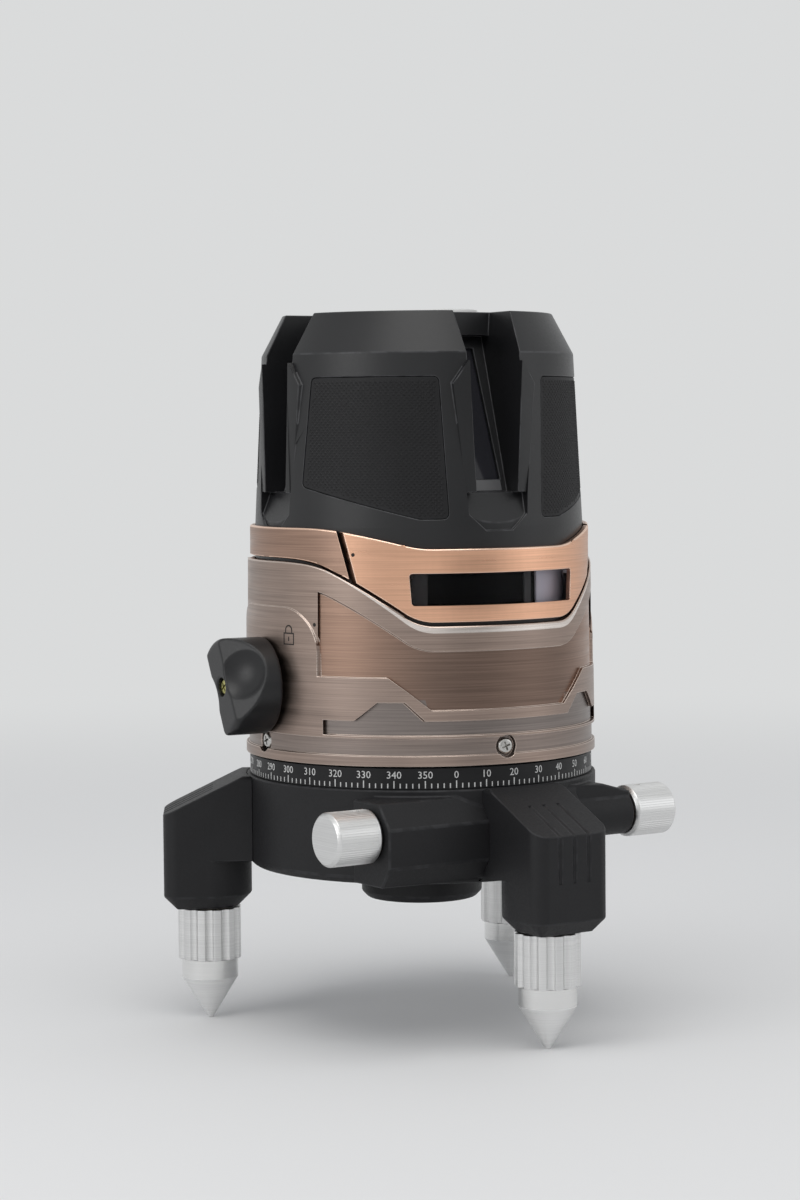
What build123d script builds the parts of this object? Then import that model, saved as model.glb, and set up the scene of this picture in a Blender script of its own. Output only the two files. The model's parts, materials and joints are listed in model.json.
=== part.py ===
from build123d import *
from math import atan2, cos, degrees, hypot, pi, radians, sin, sqrt
import os

# Line laser level: a tripod base on three screw feet with a worm fine drive, and a swivelling head
# that holds a self-levelling pendulum of lasers. Millimetres, +Z up, laser front along -Y.
# The origin is the mouth of the tripod thread, on the swivel axis. Angles run from the front to +X.

# Clearances
run_fit = 0.05
move_gap = 0.4
seam = 0.15
cut_past = 1.0

# Hub with the tripod thread, 5/8 inch 11 threads per inch, drawn at its tapping bore
thread_bore_r = 6.75
thread_len = 12.5
spigot_r = 11.5
hub_r = 18.3
hub_round = 1.8

# Drum of the base
drum_r = 53.0
drum_bottom = 11.0
drum_top = 38.5
drum_wall = 3.0
drum_floor = 3.0
drum_round = 2.0

# Spindle and the boss it turns in
spindle_r = 8.0
spindle_bush_wall = 2.0
boss_r = 14.0
boss_top = 32.0
nut_r = 10.5
nut_height = 3.5
nut_flange = 1.0

# Legs, with the foot circle measured on the photograph
base_angle = 5.25
leg_count = 3
foot_circle_r = 64.8
leg_half = 13.0
leg_root_r = 44.0
leg_end_over = 0.5
leg_bottom = -1.9
leg_end_top = 27.0
leg_slope_r = 54.4
leg_root_low = 13.0
leg_round = 4.4
leg_chamfer = 4.0
leg_edge = 1.3
groove_count = 3
groove_pitch = 5.0
groove_half = 0.75
groove_start_r = 64.0
groove_low = 14.0

# Screw feet
foot_cone_height = 12.6
foot_band_height = 5.9
foot_grip_height = 15.5
foot_tip_r = 0.8
foot_band_r = 8.5
foot_grip_r = 9.6
flute_count = 12
flute_r = 1.5
flute_depth = 0.95
stud_r = 4.0
foot_bush_r = 6.5
foot_bush_len = 14.0
foot_travel = 8.0
clip_r = 6.0
clip_neck_r = 2.5
clip_mouth_half = 2.0
clip_thickness = 1.4
stud_head = 1.5

# Worm drive
ring_teeth = 100
worm_offset = 45.0
worm_pitch_r = 5.0
worm_z = 27.0
worm_len = 17.0
worm_room_half = 11.0
tooth_add = 0.8
tooth_ded = 1.2
tooth_share = 0.36
tooth_lean = 20.0
ring_face = 6.0
ring_rim = 5.0
ring_web = 3.0
ring_hub_r = 19.0
ring_hub_low = 20.0
ring_hub_top = 30.3
friction_height = 1.0
worm_shaft_r = 3.0
worm_bush_r = 5.0
worm_bush_len = 11.0
worm_room_r = 7.2
housing_end = 44.6
housing_right = 24.0
housing_depth = 9.5
housing_low = 12.5
housing_top = 36.4
housing_upper_in = 5.5
housing_upper_drop = 7.0
housing_lower_in = 4.2
housing_lower_rise = 5.8
gusset_half = 4.5
gusset_run = 10.0
end_boss_r = 6.7
fine_knob_r = 7.7
fine_knob_len = 15.0
fine_knob_edge = 0.9
grub_r = 1.5
grub_in = 5.0

# Scale ring and turntable
scale_r = 51.8
scale_inner_r = 46.2
scale_height = 6.2
turntable_plate = 5.0
flange_height = 9.7
flange_wall = 5.0

# Body shell, upper band and bezel: radii of the outside at the shell's foot and at the cap
shell_gap = 0.5
shell_inner_r = 49.8
shell_foot_r = 51.7
shell_top_r = 51.1
relief = 0.7
foot_lip = 3.0
foot_channel = 5.0
foot_channel_depth = 0.4
groove_width = 1.0
groove_side_z = 104.2
groove_front_z = 86.0
groove_side_x = 47.3
groove_front_x = 24.9
groove_bend = 12.0
cap_line_side_z = 113.6
cap_line_front_z = 107.6
cap_line_side_x = 44.7
cap_line_front_x = 24.2
cap_line_bend = 24.0
lip_drop = 7.8
lip_half = 46.35
skirt_side_z = 70.7
skirt_front_z = 61.3
skirt_side_x = 32.6
skirt_front_x = 22.0
channel_low = 54.0
channel_high = 58.2
channel_step = 5.4
channel_half = 46.0
channel_bump_in = 23.8
channel_bump_out = 40.2
channel_bump_run = 5.0
pad_half = 24.0
pad_top = 90.4
pad_bend = 13.0
pad_proud = 0.5
bezel_top_x = 42.0
bezel_low_x = 40.4
bezel_proud = 0.35
trim_inner_r = 49.65
window_top_x = 26.9
window_low_x = 26.3
window_low = 91.3
window_high = 100.5
window_round = 0.8
frame_wall = 1.9
frame_half = 43.0
frame_border = 1.2
glass_wall = 1.5
glass_overlap = 2.4
screw_z = 50.3
screw_head_r = 2.5
screw_head_height = 1.6
screw_shank_r = 1.25
screw_shank_len = 4.0
screw_ring_r = 3.3

# Head cap with its four laser slots
cap_foot_r = 49.5
cap_edge_r = 47.0
cap_edge_z = 164.0
cap_top_r = 40.6
cap_top_z = 176.1
cap_wall = 2.3
cap_skirt_low = 101.5
slot_count = 4
slot_floor = 123.5
slot_low_half = 6.8
slot_top_half = 9.4
slot_wall = 2.2
pane_low_r = 41.8
pane_top_r = 23.2
pane_top_z = 169.3
pane_wall = 3.2
pane_lip = 1.2
pane_glass = 1.8
pane_half = 5.2
pane_rebate = 1.2
pane_margin = 4.0
island_r = 27.5
island_low = 170.5
flank_half = 13.6
flank_top_half = 9.0
flank_top = 161.5
flank_bevel_top = 155.0
flank_r = 48.6
sill_half = 9.4
sill_low_half = 4.4
sill_bevel = 117.2
sill_low = 112.6
sill_in = 44.6
grip_depth = 0.8
grip_inset = 0.15
grip_sunk = 0.15
grip_top_half = 19.2
grip_low_half = 22.3
grip_top = 157.0
grip_side_low = 125.4
grip_front_low = 116.0
grip_rear_low = 121.0
grip_flat = 8.0
grip_round = 1.6

# Top panel, buttons and bubble vial
panel_r = 25.0
panel_height = 1.6
button_r = 4.4
button_circle_r = 14.0
button_angles = (-30.0, -90.0, -150.0)
button_proud = 0.9
button_stem_r = 2.2
button_travel = 0.6
button_gap = 0.3
vial_r = 7.5
vial_x = 12.5
vial_proud = 1.9
board_r = 18.0
board_thickness = 1.6

# Lock knob, shaft, cam and plunger
lock_z = 66.8
lock_shaft_r = 2.5
lock_bush_r = 5.0
knob_r = 14.3
knob_disc = 4.8
knob_depth = 13.3
knob_round = 1.6
knob_wing_half = 4.8
knob_wing_waist = 3.6
knob_scoop_r = 12.0
knob_tilt = 28.5
knob_swing = 70.0
knob_seat_wall = 0.7
knob_screw_r = 2.6
knob_screw_head = 1.8
knob_screw_sunk = 0.9
knob_screw_round = 0.6
knob_screw_shank_r = 1.3
knob_screw_len = 5.4
knob_screw_hole = 9.0
cam_r = 4.0
cam_throw = 1.75
cam_half = 3.6
cam_slack = 0.12
plunger_r = 7.9
plunger_plate = 2.8
plunger_tip_r = 4.0
lock_bite = 0.6
lock_house_r = 11.5
lock_house_top = 73.0
magnet_flange_r = 18.0
magnet_flange = 2.6
magnet_r = 2.6
magnet_height = 3.6
magnet_circle_r = 14.6
magnet_count = 4

# Gimbal and pendulum
gimbal_z = 119.0
gimbal_half = 3.6
bracket_inner_r = 22.0
bracket_outer_r = 27.0
post_r = 3.0
post_circle_r = 40.0
post_angle = 50.0
ring_inner_r = 13.0
ring_outer_r = 18.5
trunnion_r = 1.5
bearing_r = 3.0
bearing_len = 3.2
hub_ball_r = 9.5
axle_r = 1.5
stem_r = 7.0
stem_low = 84.0
disc_r = 18.0
disc_height = 3.6
laser_r = 5.0
laser_len = 20.0
laser_back = 6.0
sleeve_wall = 1.3
sleeve_len = 11.0
level_laser_z = 96.0
level_laser_front = 34.0

# Battery bay and main board at the back and the right
bay_half = 19.5
bay_front = 24.0
bay_back = 44.0
bay_high = 101.0
bay_wall = 1.5
pack_clear = 0.4
hatch_boss_half = 22.5
hatch_boss_low = 53.8
hatch_boss_high = 99.5
hatch_face = 52.6
hatch_half = 18.5
hatch_low = 57.2
hatch_high = 95.5
hatch_thickness = 2.2
hatch_barrel_r = 1.6
hatch_pin_r = 0.9
hatch_pin_over = 2.4
hatch_ledge = 2.4
main_board_x = 32.0
main_board_half = 19.0
main_board_top = 97.0

# Worked out from the sizes above
leg_end_r = foot_circle_r + leg_half + leg_end_over
foot_height = foot_cone_height + foot_band_height + foot_grip_height
floor_z = leg_bottom - move_gap - foot_height
scale_top = drum_top + scale_height
shell_bottom = scale_top + shell_gap
plate_low = scale_top - turntable_plate + shell_gap
ring_pitch_r = worm_offset - worm_pitch_r
worm_lead = 2 * pi * ring_pitch_r / ring_teeth
worm_shift = -worm_lead
foot_bush_top = leg_bottom + foot_bush_len
clip_low = foot_bush_top + foot_travel + move_gap
clip_high = clip_low + clip_thickness
nut_room_top = thread_len + 2 * move_gap + nut_height + nut_flange + run_fit
pane_length = hypot(pane_low_r - pane_top_r, pane_top_z - slot_floor)
pane_out = (pane_top_z - slot_floor) / pane_length
pane_up = (pane_low_r - pane_top_r) / pane_length
plunger_low = lock_z + cam_r - cam_throw * sin(radians(knob_swing / 2)) + cam_slack
plunger_lift = 2 * cam_throw * sin(radians(knob_swing / 2))
plunger_tip_z = stem_low - disc_height - lock_bite - plunger_lift
bay_low = shell_bottom + flange_height
pad_share = (lock_z - shell_bottom) / (cap_line_side_z - shell_bottom)
pad_face_x = shell_foot_r + (shell_top_r - shell_foot_r) * pad_share + relief + pad_proud
knob_near_x = pad_face_x + move_gap
knob_end_x = knob_near_x + knob_depth
knob_seat_x = knob_end_x - knob_screw_sunk - knob_screw_head
knob_shaft_end = knob_seat_x - knob_seat_wall
reach = knob_end_x + 4 * cut_past


def disc(radius, low, high, x=0.0, y=0.0):
    return Pos(x, y, (low + high) / 2) * Cylinder(radius, high - low)


def ring(outer, inner, low, high, x=0.0, y=0.0):
    return disc(outer, low, high, x, y) - disc(inner, low, high, x, y)


def rod(radius, start, end):
    line = Vector(*end) - Vector(*start)
    place = Plane(origin=start, z_dir=line) * Pos(0, 0, line.length / 2)
    return place * Cylinder(radius, line.length)


def block(low, high):
    middle = [(a + b) / 2 for a, b in zip(low, high)]
    return Pos(*middle) * Box(*[b - a for a, b in zip(low, high)])


def turned(points):
    outline = make_face(Polyline(*[(r, 0, z) for r, z in points], close=True))
    return revolve(outline, Axis.Z)


def side_prism(points, half):
    outline = make_face(Polyline(*[(0, y, z) for y, z in points], close=True))
    return extrude(outline, amount=half, dir=(1, 0, 0), both=True)


def front_prism(points, near, far):
    outline = make_face(Polyline(*[(x, near, z) for x, z in points], close=True))
    return extrude(outline, amount=far - near, dir=(0, 1, 0))


def plan_prism(points, low, high):
    outline = make_face(Polyline(*[(x, y, low) for x, y in points], close=True))
    return extrude(outline, amount=high - low, dir=(0, 0, 1))


def spun(shape, angle):
    return Rot(0, 0, angle) * shape


def mirrored(points):
    return points + [(-x, z) for x, z in reversed(points)]


# Base


def leg_top(radius):
    slope = (drum_top - leg_end_top) / (leg_end_r - leg_slope_r)
    return drum_top - (radius - leg_slope_r) * slope


def leg():
    body = side_prism([
        (-leg_root_r, drum_top), (-leg_slope_r, drum_top), (-leg_end_r, leg_end_top),
        (-leg_end_r, leg_root_low), (-leg_root_r, leg_root_low),
    ], leg_half)
    body += block((-leg_half, -leg_end_r, leg_bottom), (leg_half, -foot_circle_r, leg_root_low))
    body += disc(leg_half, leg_bottom, leg_root_low, 0, -foot_circle_r)
    body = fillet(body.edges().filter_by(Axis.Z).group_by(Axis.Y)[0], leg_round)
    body = fillet(body.edges().group_by(Axis.Z)[-1].filter_by(Axis.Y), leg_edge)
    body = chamfer(body.faces().sort_by(Axis.Z)[0].edges(), leg_chamfer)
    for i in range(groove_count):
        x = (i - (groove_count - 1) / 2) * groove_pitch
        start = (x, -groove_start_r, leg_top(groove_start_r))
        edge = (x, -leg_end_r, leg_end_top)
        body -= notch(start, edge)
        body -= notch(edge, (x, -leg_end_r, groove_low))
    return body - foot_socket()


def foot_socket():
    socket_top = clip_high + stud_head + 2 * move_gap
    return disc(foot_bush_r, leg_bottom - cut_past, socket_top, 0, -foot_circle_r)


def notch(start, end):
    line = Vector(*end) - Vector(*start)
    side = groove_half * sqrt(2)
    square = Rot(0, 0, 45) * Box(side, side, line.length + 2 * groove_half)
    return Plane(origin=start, x_dir=(1, 0, 0), z_dir=line) * Pos(0, 0, line.length / 2) * square


def at_worm(shape):
    return Pos(worm_shift, -worm_offset, worm_z) * shape


def worm_housing():
    outer = -(worm_offset + housing_depth)
    inner = housing_depth - worm_offset
    half = (housing_end + housing_right) / 2
    bar = Pos(worm_shift + housing_right - half, 0, 0) * side_prism([
        (inner, housing_low), (outer + housing_lower_in, housing_low),
        (outer, housing_low + housing_lower_rise), (outer, housing_top - housing_upper_drop),
        (outer + housing_upper_in, housing_top), (inner, housing_top),
    ], half)
    boss = at_worm(rod(end_boss_r, (-housing_end, 0, 0), (housing_end, 0, 0)))
    rise = housing_top - worm_z
    gusset = at_worm(front_prism([
        (0, 0), (housing_end, 0), (housing_end, end_boss_r - seam), (housing_end - gusset_run, rise),
        (0, rise),
    ], -gusset_half, gusset_half))
    return bar + boss + gusset


def casting_blank():
    drum = turned([
        (0, drum_bottom), (drum_r - drum_round, drum_bottom), (drum_r, drum_bottom + drum_round),
        (drum_r, drum_top), (0, drum_top),
    ])
    return drum + worm_housing()


def base_casting():
    body = casting_blank()
    inside = drum_r - drum_wall
    inside_floor = drum_bottom + drum_floor
    body -= turned([
        (ring_hub_r, inside_floor), (inside, inside_floor), (inside, drum_top + cut_past),
        (0, drum_top + cut_past), (0, boss_top), (boss_r, boss_top), (boss_r, ring_hub_low - move_gap),
        (ring_hub_r, ring_hub_low - move_gap),
    ])
    body -= disc(spigot_r, drum_bottom - cut_past, nut_room_top)
    body -= disc(spindle_r + spindle_bush_wall, nut_room_top - cut_past, boss_top + cut_past)
    body -= at_worm(rod(worm_room_r, (-worm_room_half, 0, 0), (worm_room_half, 0, 0)))
    past = housing_end + cut_past
    body -= at_worm(rod(worm_bush_r, (-past, 0, 0), (past, 0, 0)))
    for i in range(leg_count):
        body -= spun(foot_socket(), i * 360 / leg_count)
    return spun(body, base_angle)


def base_legs():
    blank = casting_blank()
    legs = [spun(leg(), i * 360 / leg_count) - blank for i in range(leg_count)]
    return Compound([spun(solid, base_angle) for solid in legs])


def tripod_hub():
    return turned([
        (thread_bore_r, 0), (hub_r - hub_round, 0), (hub_r, hub_round), (hub_r, drum_bottom),
        (spigot_r, drum_bottom), (spigot_r, thread_len), (thread_bore_r, thread_len),
    ])


def at_feet(shape):
    place = Pos(0, -foot_circle_r, 0) * shape
    return [spun(place, base_angle + i * 360 / leg_count) for i in range(leg_count)]


def foot():
    band_low = floor_z + foot_cone_height
    grip_low = band_low + foot_band_height
    grip_high = grip_low + foot_grip_height
    body = turned([
        (0, floor_z), (foot_tip_r, floor_z), (foot_band_r, band_low), (foot_band_r, grip_low),
        (foot_grip_r, grip_low), (foot_grip_r, grip_high), (stud_r, grip_high), (stud_r, clip_low),
        (clip_neck_r, clip_low), (clip_neck_r, clip_high), (stud_r, clip_high),
        (stud_r, clip_high + stud_head), (0, clip_high + stud_head),
    ])
    flute_centre = foot_grip_r + flute_r - flute_depth
    flute = disc(flute_r, grip_low - cut_past, grip_high + move_gap / 2, flute_centre)
    for i in range(flute_count):
        body -= spun(flute, i * 360 / flute_count)
    return body


def foot_clip():
    body = ring(clip_r, clip_neck_r + run_fit, clip_low + run_fit, clip_high - run_fit)
    return body - block((-clip_mouth_half, 0, clip_low), (clip_mouth_half, clip_r, clip_high))


def foot_bushes():
    return Compound(at_feet(ring(foot_bush_r, stud_r + run_fit, leg_bottom, foot_bush_top)))


def spindle_bush():
    return ring(spindle_r + spindle_bush_wall, spindle_r + run_fit, nut_room_top, boss_top)


def scale_ring():
    return ring(scale_r, scale_inner_r, drum_top, scale_top)


# Fine drive


def along_worm(shape):
    return spun(at_worm(shape), base_angle)


def worm_shaft():
    end = housing_end + move_gap + fine_knob_len - 2 * fine_knob_edge
    core_r = worm_pitch_r - tooth_ded
    body = rod(worm_shaft_r, (-end, 0, 0), (end, 0, 0))
    body += rod(core_r, (-worm_len / 2, 0, 0), (worm_len / 2, 0, 0))
    tip_r = worm_pitch_r + tooth_add
    lean = tooth_add * sin(radians(tooth_lean))
    tip_half = worm_lead * tooth_share / 2 - lean
    root_half = worm_lead * tooth_share / 2 + lean
    turns = int(worm_len / worm_lead) - 1
    length = turns * worm_lead
    path = Helix(worm_lead, length, core_r, direction=(1, 0, 0))
    start = path @ 0
    out = Vector(0, start.Y, start.Z).normalized()
    corners = [
        (core_r - seam, -root_half), (core_r - seam, root_half), (tip_r, tip_half), (tip_r, -tip_half),
    ]
    outline = Polyline(*[out * r + Vector(x, 0, 0) for r, x in corners], close=True)
    thread = sweep(make_face(outline), path=path, is_frenet=True)
    start_angle = degrees(atan2(start.Z, start.Y))
    thread = Rot(-start_angle - 180 * turns, 0, 0) * Pos(-length / 2, 0, 0) * thread
    return along_worm(body + thread)


def fine_knob(side):
    near = housing_end + move_gap
    body = rod(fine_knob_r, (near, 0, 0), (near + fine_knob_len, 0, 0))
    body = chamfer(body.edges(), fine_knob_edge)
    body -= rod(worm_shaft_r, (near - cut_past, 0, 0), (near + fine_knob_len - 2 * fine_knob_edge, 0, 0))
    grub_x = near + grub_in
    body -= rod(grub_r, (grub_x, 0, 0), (grub_x, 0, fine_knob_r + cut_past))
    return along_worm(Rot(0, 0, 0 if side > 0 else 180) * body)


def grub_screws():
    x = housing_end + move_gap + grub_in
    screw = rod(grub_r - run_fit, (x, 0, worm_shaft_r), (x, 0, fine_knob_r - run_fit))
    return Compound([along_worm(Rot(0, 0, turn) * screw) for turn in (0, 180)])


def worm_bushes():
    bush = rod(worm_bush_r, (housing_end - worm_bush_len, 0, 0), (housing_end, 0, 0))
    bush -= rod(worm_shaft_r + run_fit, (housing_end - worm_bush_len, 0, 0), (housing_end, 0, 0))
    return Compound([along_worm(Rot(0, 0, turn) * bush) for turn in (0, 180)])


def tooth_ring(low, high):
    tip_r = ring_pitch_r + tooth_add
    root_r = ring_pitch_r - tooth_ded
    lean = tooth_add * sin(radians(tooth_lean))
    tip_half = (worm_lead * tooth_share / 2 - lean) / ring_pitch_r
    root_half = (worm_lead * tooth_share / 2 + lean) / ring_pitch_r
    flank = [(root_r, -root_half), (tip_r, -tip_half), (tip_r, tip_half), (root_r, root_half)]
    lead_turn = worm_lead / (2 * pi * worm_pitch_r) / ring_pitch_r
    sections = []
    for z in (low, high):
        points = []
        for i in range(ring_teeth):
            middle = 2 * pi * (i + 0.5) / ring_teeth + (z - worm_z) * lead_turn
            for r, a in flank:
                points.append((r * sin(middle + a), -r * cos(middle + a), z))
        sections.append(make_face(Polyline(*points, close=True)))
    return loft(sections, ruled=True)


def worm_ring():
    low = worm_z - ring_face / 2
    high = worm_z + ring_face / 2
    rim_inner = ring_pitch_r - tooth_ded - ring_rim
    body = tooth_ring(low, high) - disc(rim_inner, low - cut_past, high + cut_past)
    body += ring(rim_inner + seam, boss_r + seam, worm_z - ring_web / 2, worm_z + ring_web / 2)
    body += ring(ring_hub_r, boss_r + seam, ring_hub_low, ring_hub_top)
    body -= disc(boss_r + run_fit, ring_hub_low - cut_past, ring_hub_top + cut_past)
    return spun(body, base_angle)


def friction_washer():
    return ring(ring_hub_r, boss_r + move_gap, ring_hub_top, ring_hub_top + friction_height)


# Head: turntable, shell, band and bezel


def shell_r(z, proud=0.0):
    share = (z - shell_bottom) / (cap_line_side_z - shell_bottom)
    return shell_foot_r + (shell_top_r - shell_foot_r) * share + proud


def shell_skin(low, high, inner, proud):
    return turned([(inner, low), (shell_r(low, proud), low), (shell_r(high, proud), high), (inner, high)])


def turntable():
    skirt_low = ring_hub_top + friction_height + run_fit
    flange_r = shell_inner_r - seam
    flange_low = shell_bottom
    flange_top = shell_bottom + flange_height
    plate_r = scale_inner_r - move_gap
    plate_top = plate_low + turntable_plate
    body = turned([
        (0, thread_len + move_gap), (spindle_r, thread_len + move_gap), (spindle_r, plate_low),
        (boss_r + move_gap, plate_low), (boss_r + move_gap, skirt_low), (ring_hub_r, skirt_low),
        (ring_hub_r, plate_low), (plate_r, plate_low), (plate_r, flange_low), (flange_r, flange_low),
        (flange_r, flange_top), (flange_r - flange_wall, flange_top), (flange_r - flange_wall, plate_top),
        (0, plate_top),
    ])
    body = spun(body, 180 / slot_count)
    hole = rod(screw_shank_r, (0, -reach, screw_z), (0, -flange_r + screw_shank_len, screw_z))
    for i in range(slot_count):
        body -= spun(hole, i * 360 / slot_count)
    return body


def spindle_nut():
    low = thread_len + 2 * move_gap
    top = low + nut_height + nut_flange
    body = extrude(Pos(0, 0, low) * RegularPolygon(nut_r, 6), nut_height)
    body += disc(nut_r, low + nut_height, top)
    return body - disc(spindle_r + run_fit, low - cut_past, top + cut_past)


def wave(side_z, front_z, side_x, front_x, bend, low):
    crest = FilletPolyline(
        (-reach, -reach, side_z), (-side_x, -reach, side_z), (-front_x, -reach, front_z),
        (front_x, -reach, front_z), (side_x, -reach, side_z), (reach, -reach, side_z), radius=bend,
    )
    sides = Polyline(
        (reach, -reach, side_z), (reach, -reach, low), (-reach, -reach, low), (-reach, -reach, side_z),
    )
    front = extrude(make_face(crest.edges() + sides.edges()), amount=reach, dir=(0, 1, 0))
    return front + block((-reach, 0, low), (reach, reach, side_z))


def below_groove(shift):
    return wave(groove_side_z + shift, groove_front_z + shift, groove_side_x, groove_front_x, groove_bend,
                shell_bottom - reach)


def below_cap_line():
    return wave(cap_line_side_z, cap_line_front_z, cap_line_side_x, cap_line_front_x, cap_line_bend,
                shell_bottom - reach)


def skirt_outline():
    right = [
        (skirt_front_x, skirt_front_z), (skirt_side_x, skirt_side_z), (reach, skirt_side_z),
        (reach, shell_bottom),
    ]
    return mirrored(right)


def channel_outline():
    top = channel_high + channel_step
    right = [
        (channel_bump_in, channel_high), (channel_bump_in + channel_bump_run, top),
        (channel_bump_out - channel_bump_run, top), (channel_bump_out, channel_high),
        (channel_half, channel_high), (channel_half, channel_low),
    ]
    return mirrored(right)


def knob_pad():
    arch = FilletPolyline(
        (0, -pad_half, shell_bottom), (0, -pad_half, pad_top), (0, pad_half, pad_top),
        (0, pad_half, shell_bottom), radius=pad_bend,
    )
    foot_line = Line((0, pad_half, shell_bottom), (0, -pad_half, shell_bottom))
    return extrude(make_face(arch.edges() + foot_line.edges()), amount=reach, dir=(1, 0, 0), both=True)


def hatch_boss():
    boss = block((-hatch_boss_half, 0, hatch_boss_low), (hatch_boss_half, hatch_face, hatch_boss_high))
    boss -= disc(shell_inner_r, hatch_boss_low - cut_past, hatch_boss_high + cut_past)
    return boss


def hatch_cuts():
    low = hatch_low - hatch_barrel_r - move_gap
    floor = hatch_face - 2 * hatch_barrel_r - move_gap
    cut = block((-hatch_half - move_gap, floor, low), (hatch_half + move_gap, reach, hatch_high + move_gap))
    inner = hatch_half - hatch_ledge
    inner_low = low + hatch_ledge + 2 * hatch_barrel_r
    cut += block((-inner, 0, inner_low), (inner, reach, hatch_high - hatch_ledge))
    pin = hatch_pin_r + run_fit
    cut += rod(pin, (-pin_end(), hatch_axis_y(), hatch_low), (pin_end(), hatch_axis_y(), hatch_low))
    return cut


def hatch_axis_y():
    return hatch_face - hatch_barrel_r


def pin_end():
    return hatch_half + hatch_pin_over


def body_shell():
    top = groove_side_z + groove_width
    skin = shell_skin(shell_bottom, top, shell_inner_r, 0)
    raised = shell_skin(shell_bottom, top, shell_inner_r + seam, relief)
    skirt = front_prism(skirt_outline(), -reach, reach) - front_prism(channel_outline(), -reach, reach)
    lip = block((-lip_half, -reach, groove_front_z - lip_drop), (lip_half, 0, top))
    lip -= below_groove(-lip_drop)
    for near, far in ((lip_half, reach), (-reach, -lip_half)):
        lip += block((near, -reach, shell_bottom), (far, reach, top))
    proud = shell_skin(shell_bottom, top, shell_inner_r + seam, relief + pad_proud)
    body = skin + (raised & lip) + (proud & (skirt + knob_pad()))
    body &= below_groove(-groove_width / 2)
    lip_top = shell_bottom + foot_lip
    hollow = shell_r(lip_top, relief) - foot_channel_depth
    body -= ring(reach, hollow, lip_top, lip_top + foot_channel)
    body += hatch_boss()
    body -= hatch_cuts()
    seat = shell_r(screw_z, relief) - foot_channel_depth - screw_head_height
    for i in range(slot_count):
        hole = rod(screw_shank_r + run_fit, (0, 0, screw_z), (0, -reach, screw_z))
        hole += rod(screw_ring_r, (0, -seat, screw_z), (0, -reach, screw_z))
        body -= spun(hole, i * 360 / slot_count)
    body -= rod(lock_bush_r, (0, 0, lock_z), (-reach, 0, lock_z))
    return body


def shell_screws():
    seat = shell_r(screw_z, relief) - foot_channel_depth - screw_head_height
    head = rod(screw_head_r, (0, -seat, screw_z), (0, -seat - screw_head_height, screw_z))
    head = fillet(head.edges().group_by(Axis.Y)[0], screw_head_height / 2)
    inner = shell_inner_r - seam - screw_shank_len
    screw = head + rod(screw_shank_r - run_fit, (0, -inner, screw_z), (0, -seat, screw_z))
    return Compound([spun(screw, i * 360 / slot_count) for i in range(slot_count)])


def bezel_region(spread):
    top = cap_line_side_z + cut_past
    low = groove_front_z - cut_past
    lean = (bezel_top_x - bezel_low_x) / (cap_line_side_z - groove_side_z)
    high_x = bezel_top_x + lean * cut_past + spread
    low_x = bezel_top_x - lean * (cap_line_side_z - low) + spread
    return front_prism(mirrored([(low_x, low), (high_x, top)]), -reach, 0)


def trim_zone():
    return below_cap_line() - below_groove(groove_width / 2)


def upper_band():
    skin = shell_skin(groove_front_z, cap_line_side_z, trim_inner_r, 0)
    return (skin & trim_zone()) - bezel_region(groove_width / 2)


def window_hole(grow):
    low = (window_low_x + grow, window_low - grow)
    outline = mirrored([low, (window_top_x + grow, window_high + grow)])
    hole = front_prism(outline, -reach, 0)
    return fillet(hole.edges().filter_by(Axis.Y), window_round + grow)


def window_bezel():
    skin = shell_skin(groove_front_z, cap_line_side_z, trim_inner_r, bezel_proud)
    body = (skin & trim_zone()) & bezel_region(-groove_width / 2)
    return body - window_hole(0)


def window_frame():
    outer = trim_inner_r - seam
    low = groove_front_z - frame_border - groove_width
    skin = ring(outer, outer - frame_wall, low, cap_skirt_low + 2 * frame_border)
    body = skin & block((-frame_half, -reach, low), (frame_half, 0, cap_line_front_z))
    return body - window_hole(frame_border / 2)


def horizontal_window():
    outer = trim_inner_r - seam - frame_wall - seam
    low = window_low - glass_overlap
    high = window_high + glass_overlap
    half = window_top_x + glass_overlap
    return ring(outer, outer - glass_wall, low, high) & block((-half, -reach, low), (half, 0, high))


# Head cap


def cap_r(z):
    share = (z - cap_line_side_z) / (cap_edge_z - cap_line_side_z)
    return cap_foot_r + (cap_edge_r - cap_foot_r) * share


def cap_skin(low, high, inset, outset):
    return turned([
        (cap_r(low) - inset, low), (cap_r(low) + outset, low), (cap_r(high) + outset, high),
        (cap_r(high) - inset, high),
    ])


def pane_plane(depth):
    middle_r = (pane_low_r + pane_top_r) / 2 - depth * pane_out
    middle_z = (slot_floor + pane_top_z) / 2 - depth * pane_up
    return Plane(origin=(0, -middle_r, middle_z), x_dir=(1, 0, 0), z_dir=(0, -pane_out, pane_up))


def pane_slab(half, margin, shallow, deep):
    slab = Box(2 * half, pane_length - 2 * margin, deep - shallow)
    return pane_plane((shallow + deep) / 2) * slab


def slot_half(z):
    share = (z - slot_floor) / (cap_top_z - slot_floor)
    return slot_low_half + (slot_top_half - slot_low_half) * share


def slot_channel():
    past = cap_top_z + cut_past
    flare = mirrored([(slot_half(slot_floor), slot_floor), (slot_half(past), past)])
    front = front_prism(flare, -reach, 0)
    side = side_prism([
        (-reach, slot_floor), (-pane_low_r, slot_floor), (-pane_top_r, pane_top_z), (-island_r, pane_top_z),
        (-island_r, past), (-reach, past),
    ], slot_top_half + cut_past)
    return front & side


def slot_block():
    low = sill_low - cap_wall
    drop = pane_wall * pane_up
    slope = (pane_low_r - pane_top_r) / (pane_top_z - slot_floor)
    top_r = pane_top_r - pane_wall * pane_out
    top_z = pane_top_z - drop
    low_r = top_r + slope * (top_z - slot_floor)
    wide = slot_top_half + slot_wall
    return side_prism([
        (-reach, low), (-low_r, low), (-low_r, slot_floor), (-top_r, top_z), (-top_r, cap_top_z),
        (-reach, cap_top_z),
    ], wide)


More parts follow.
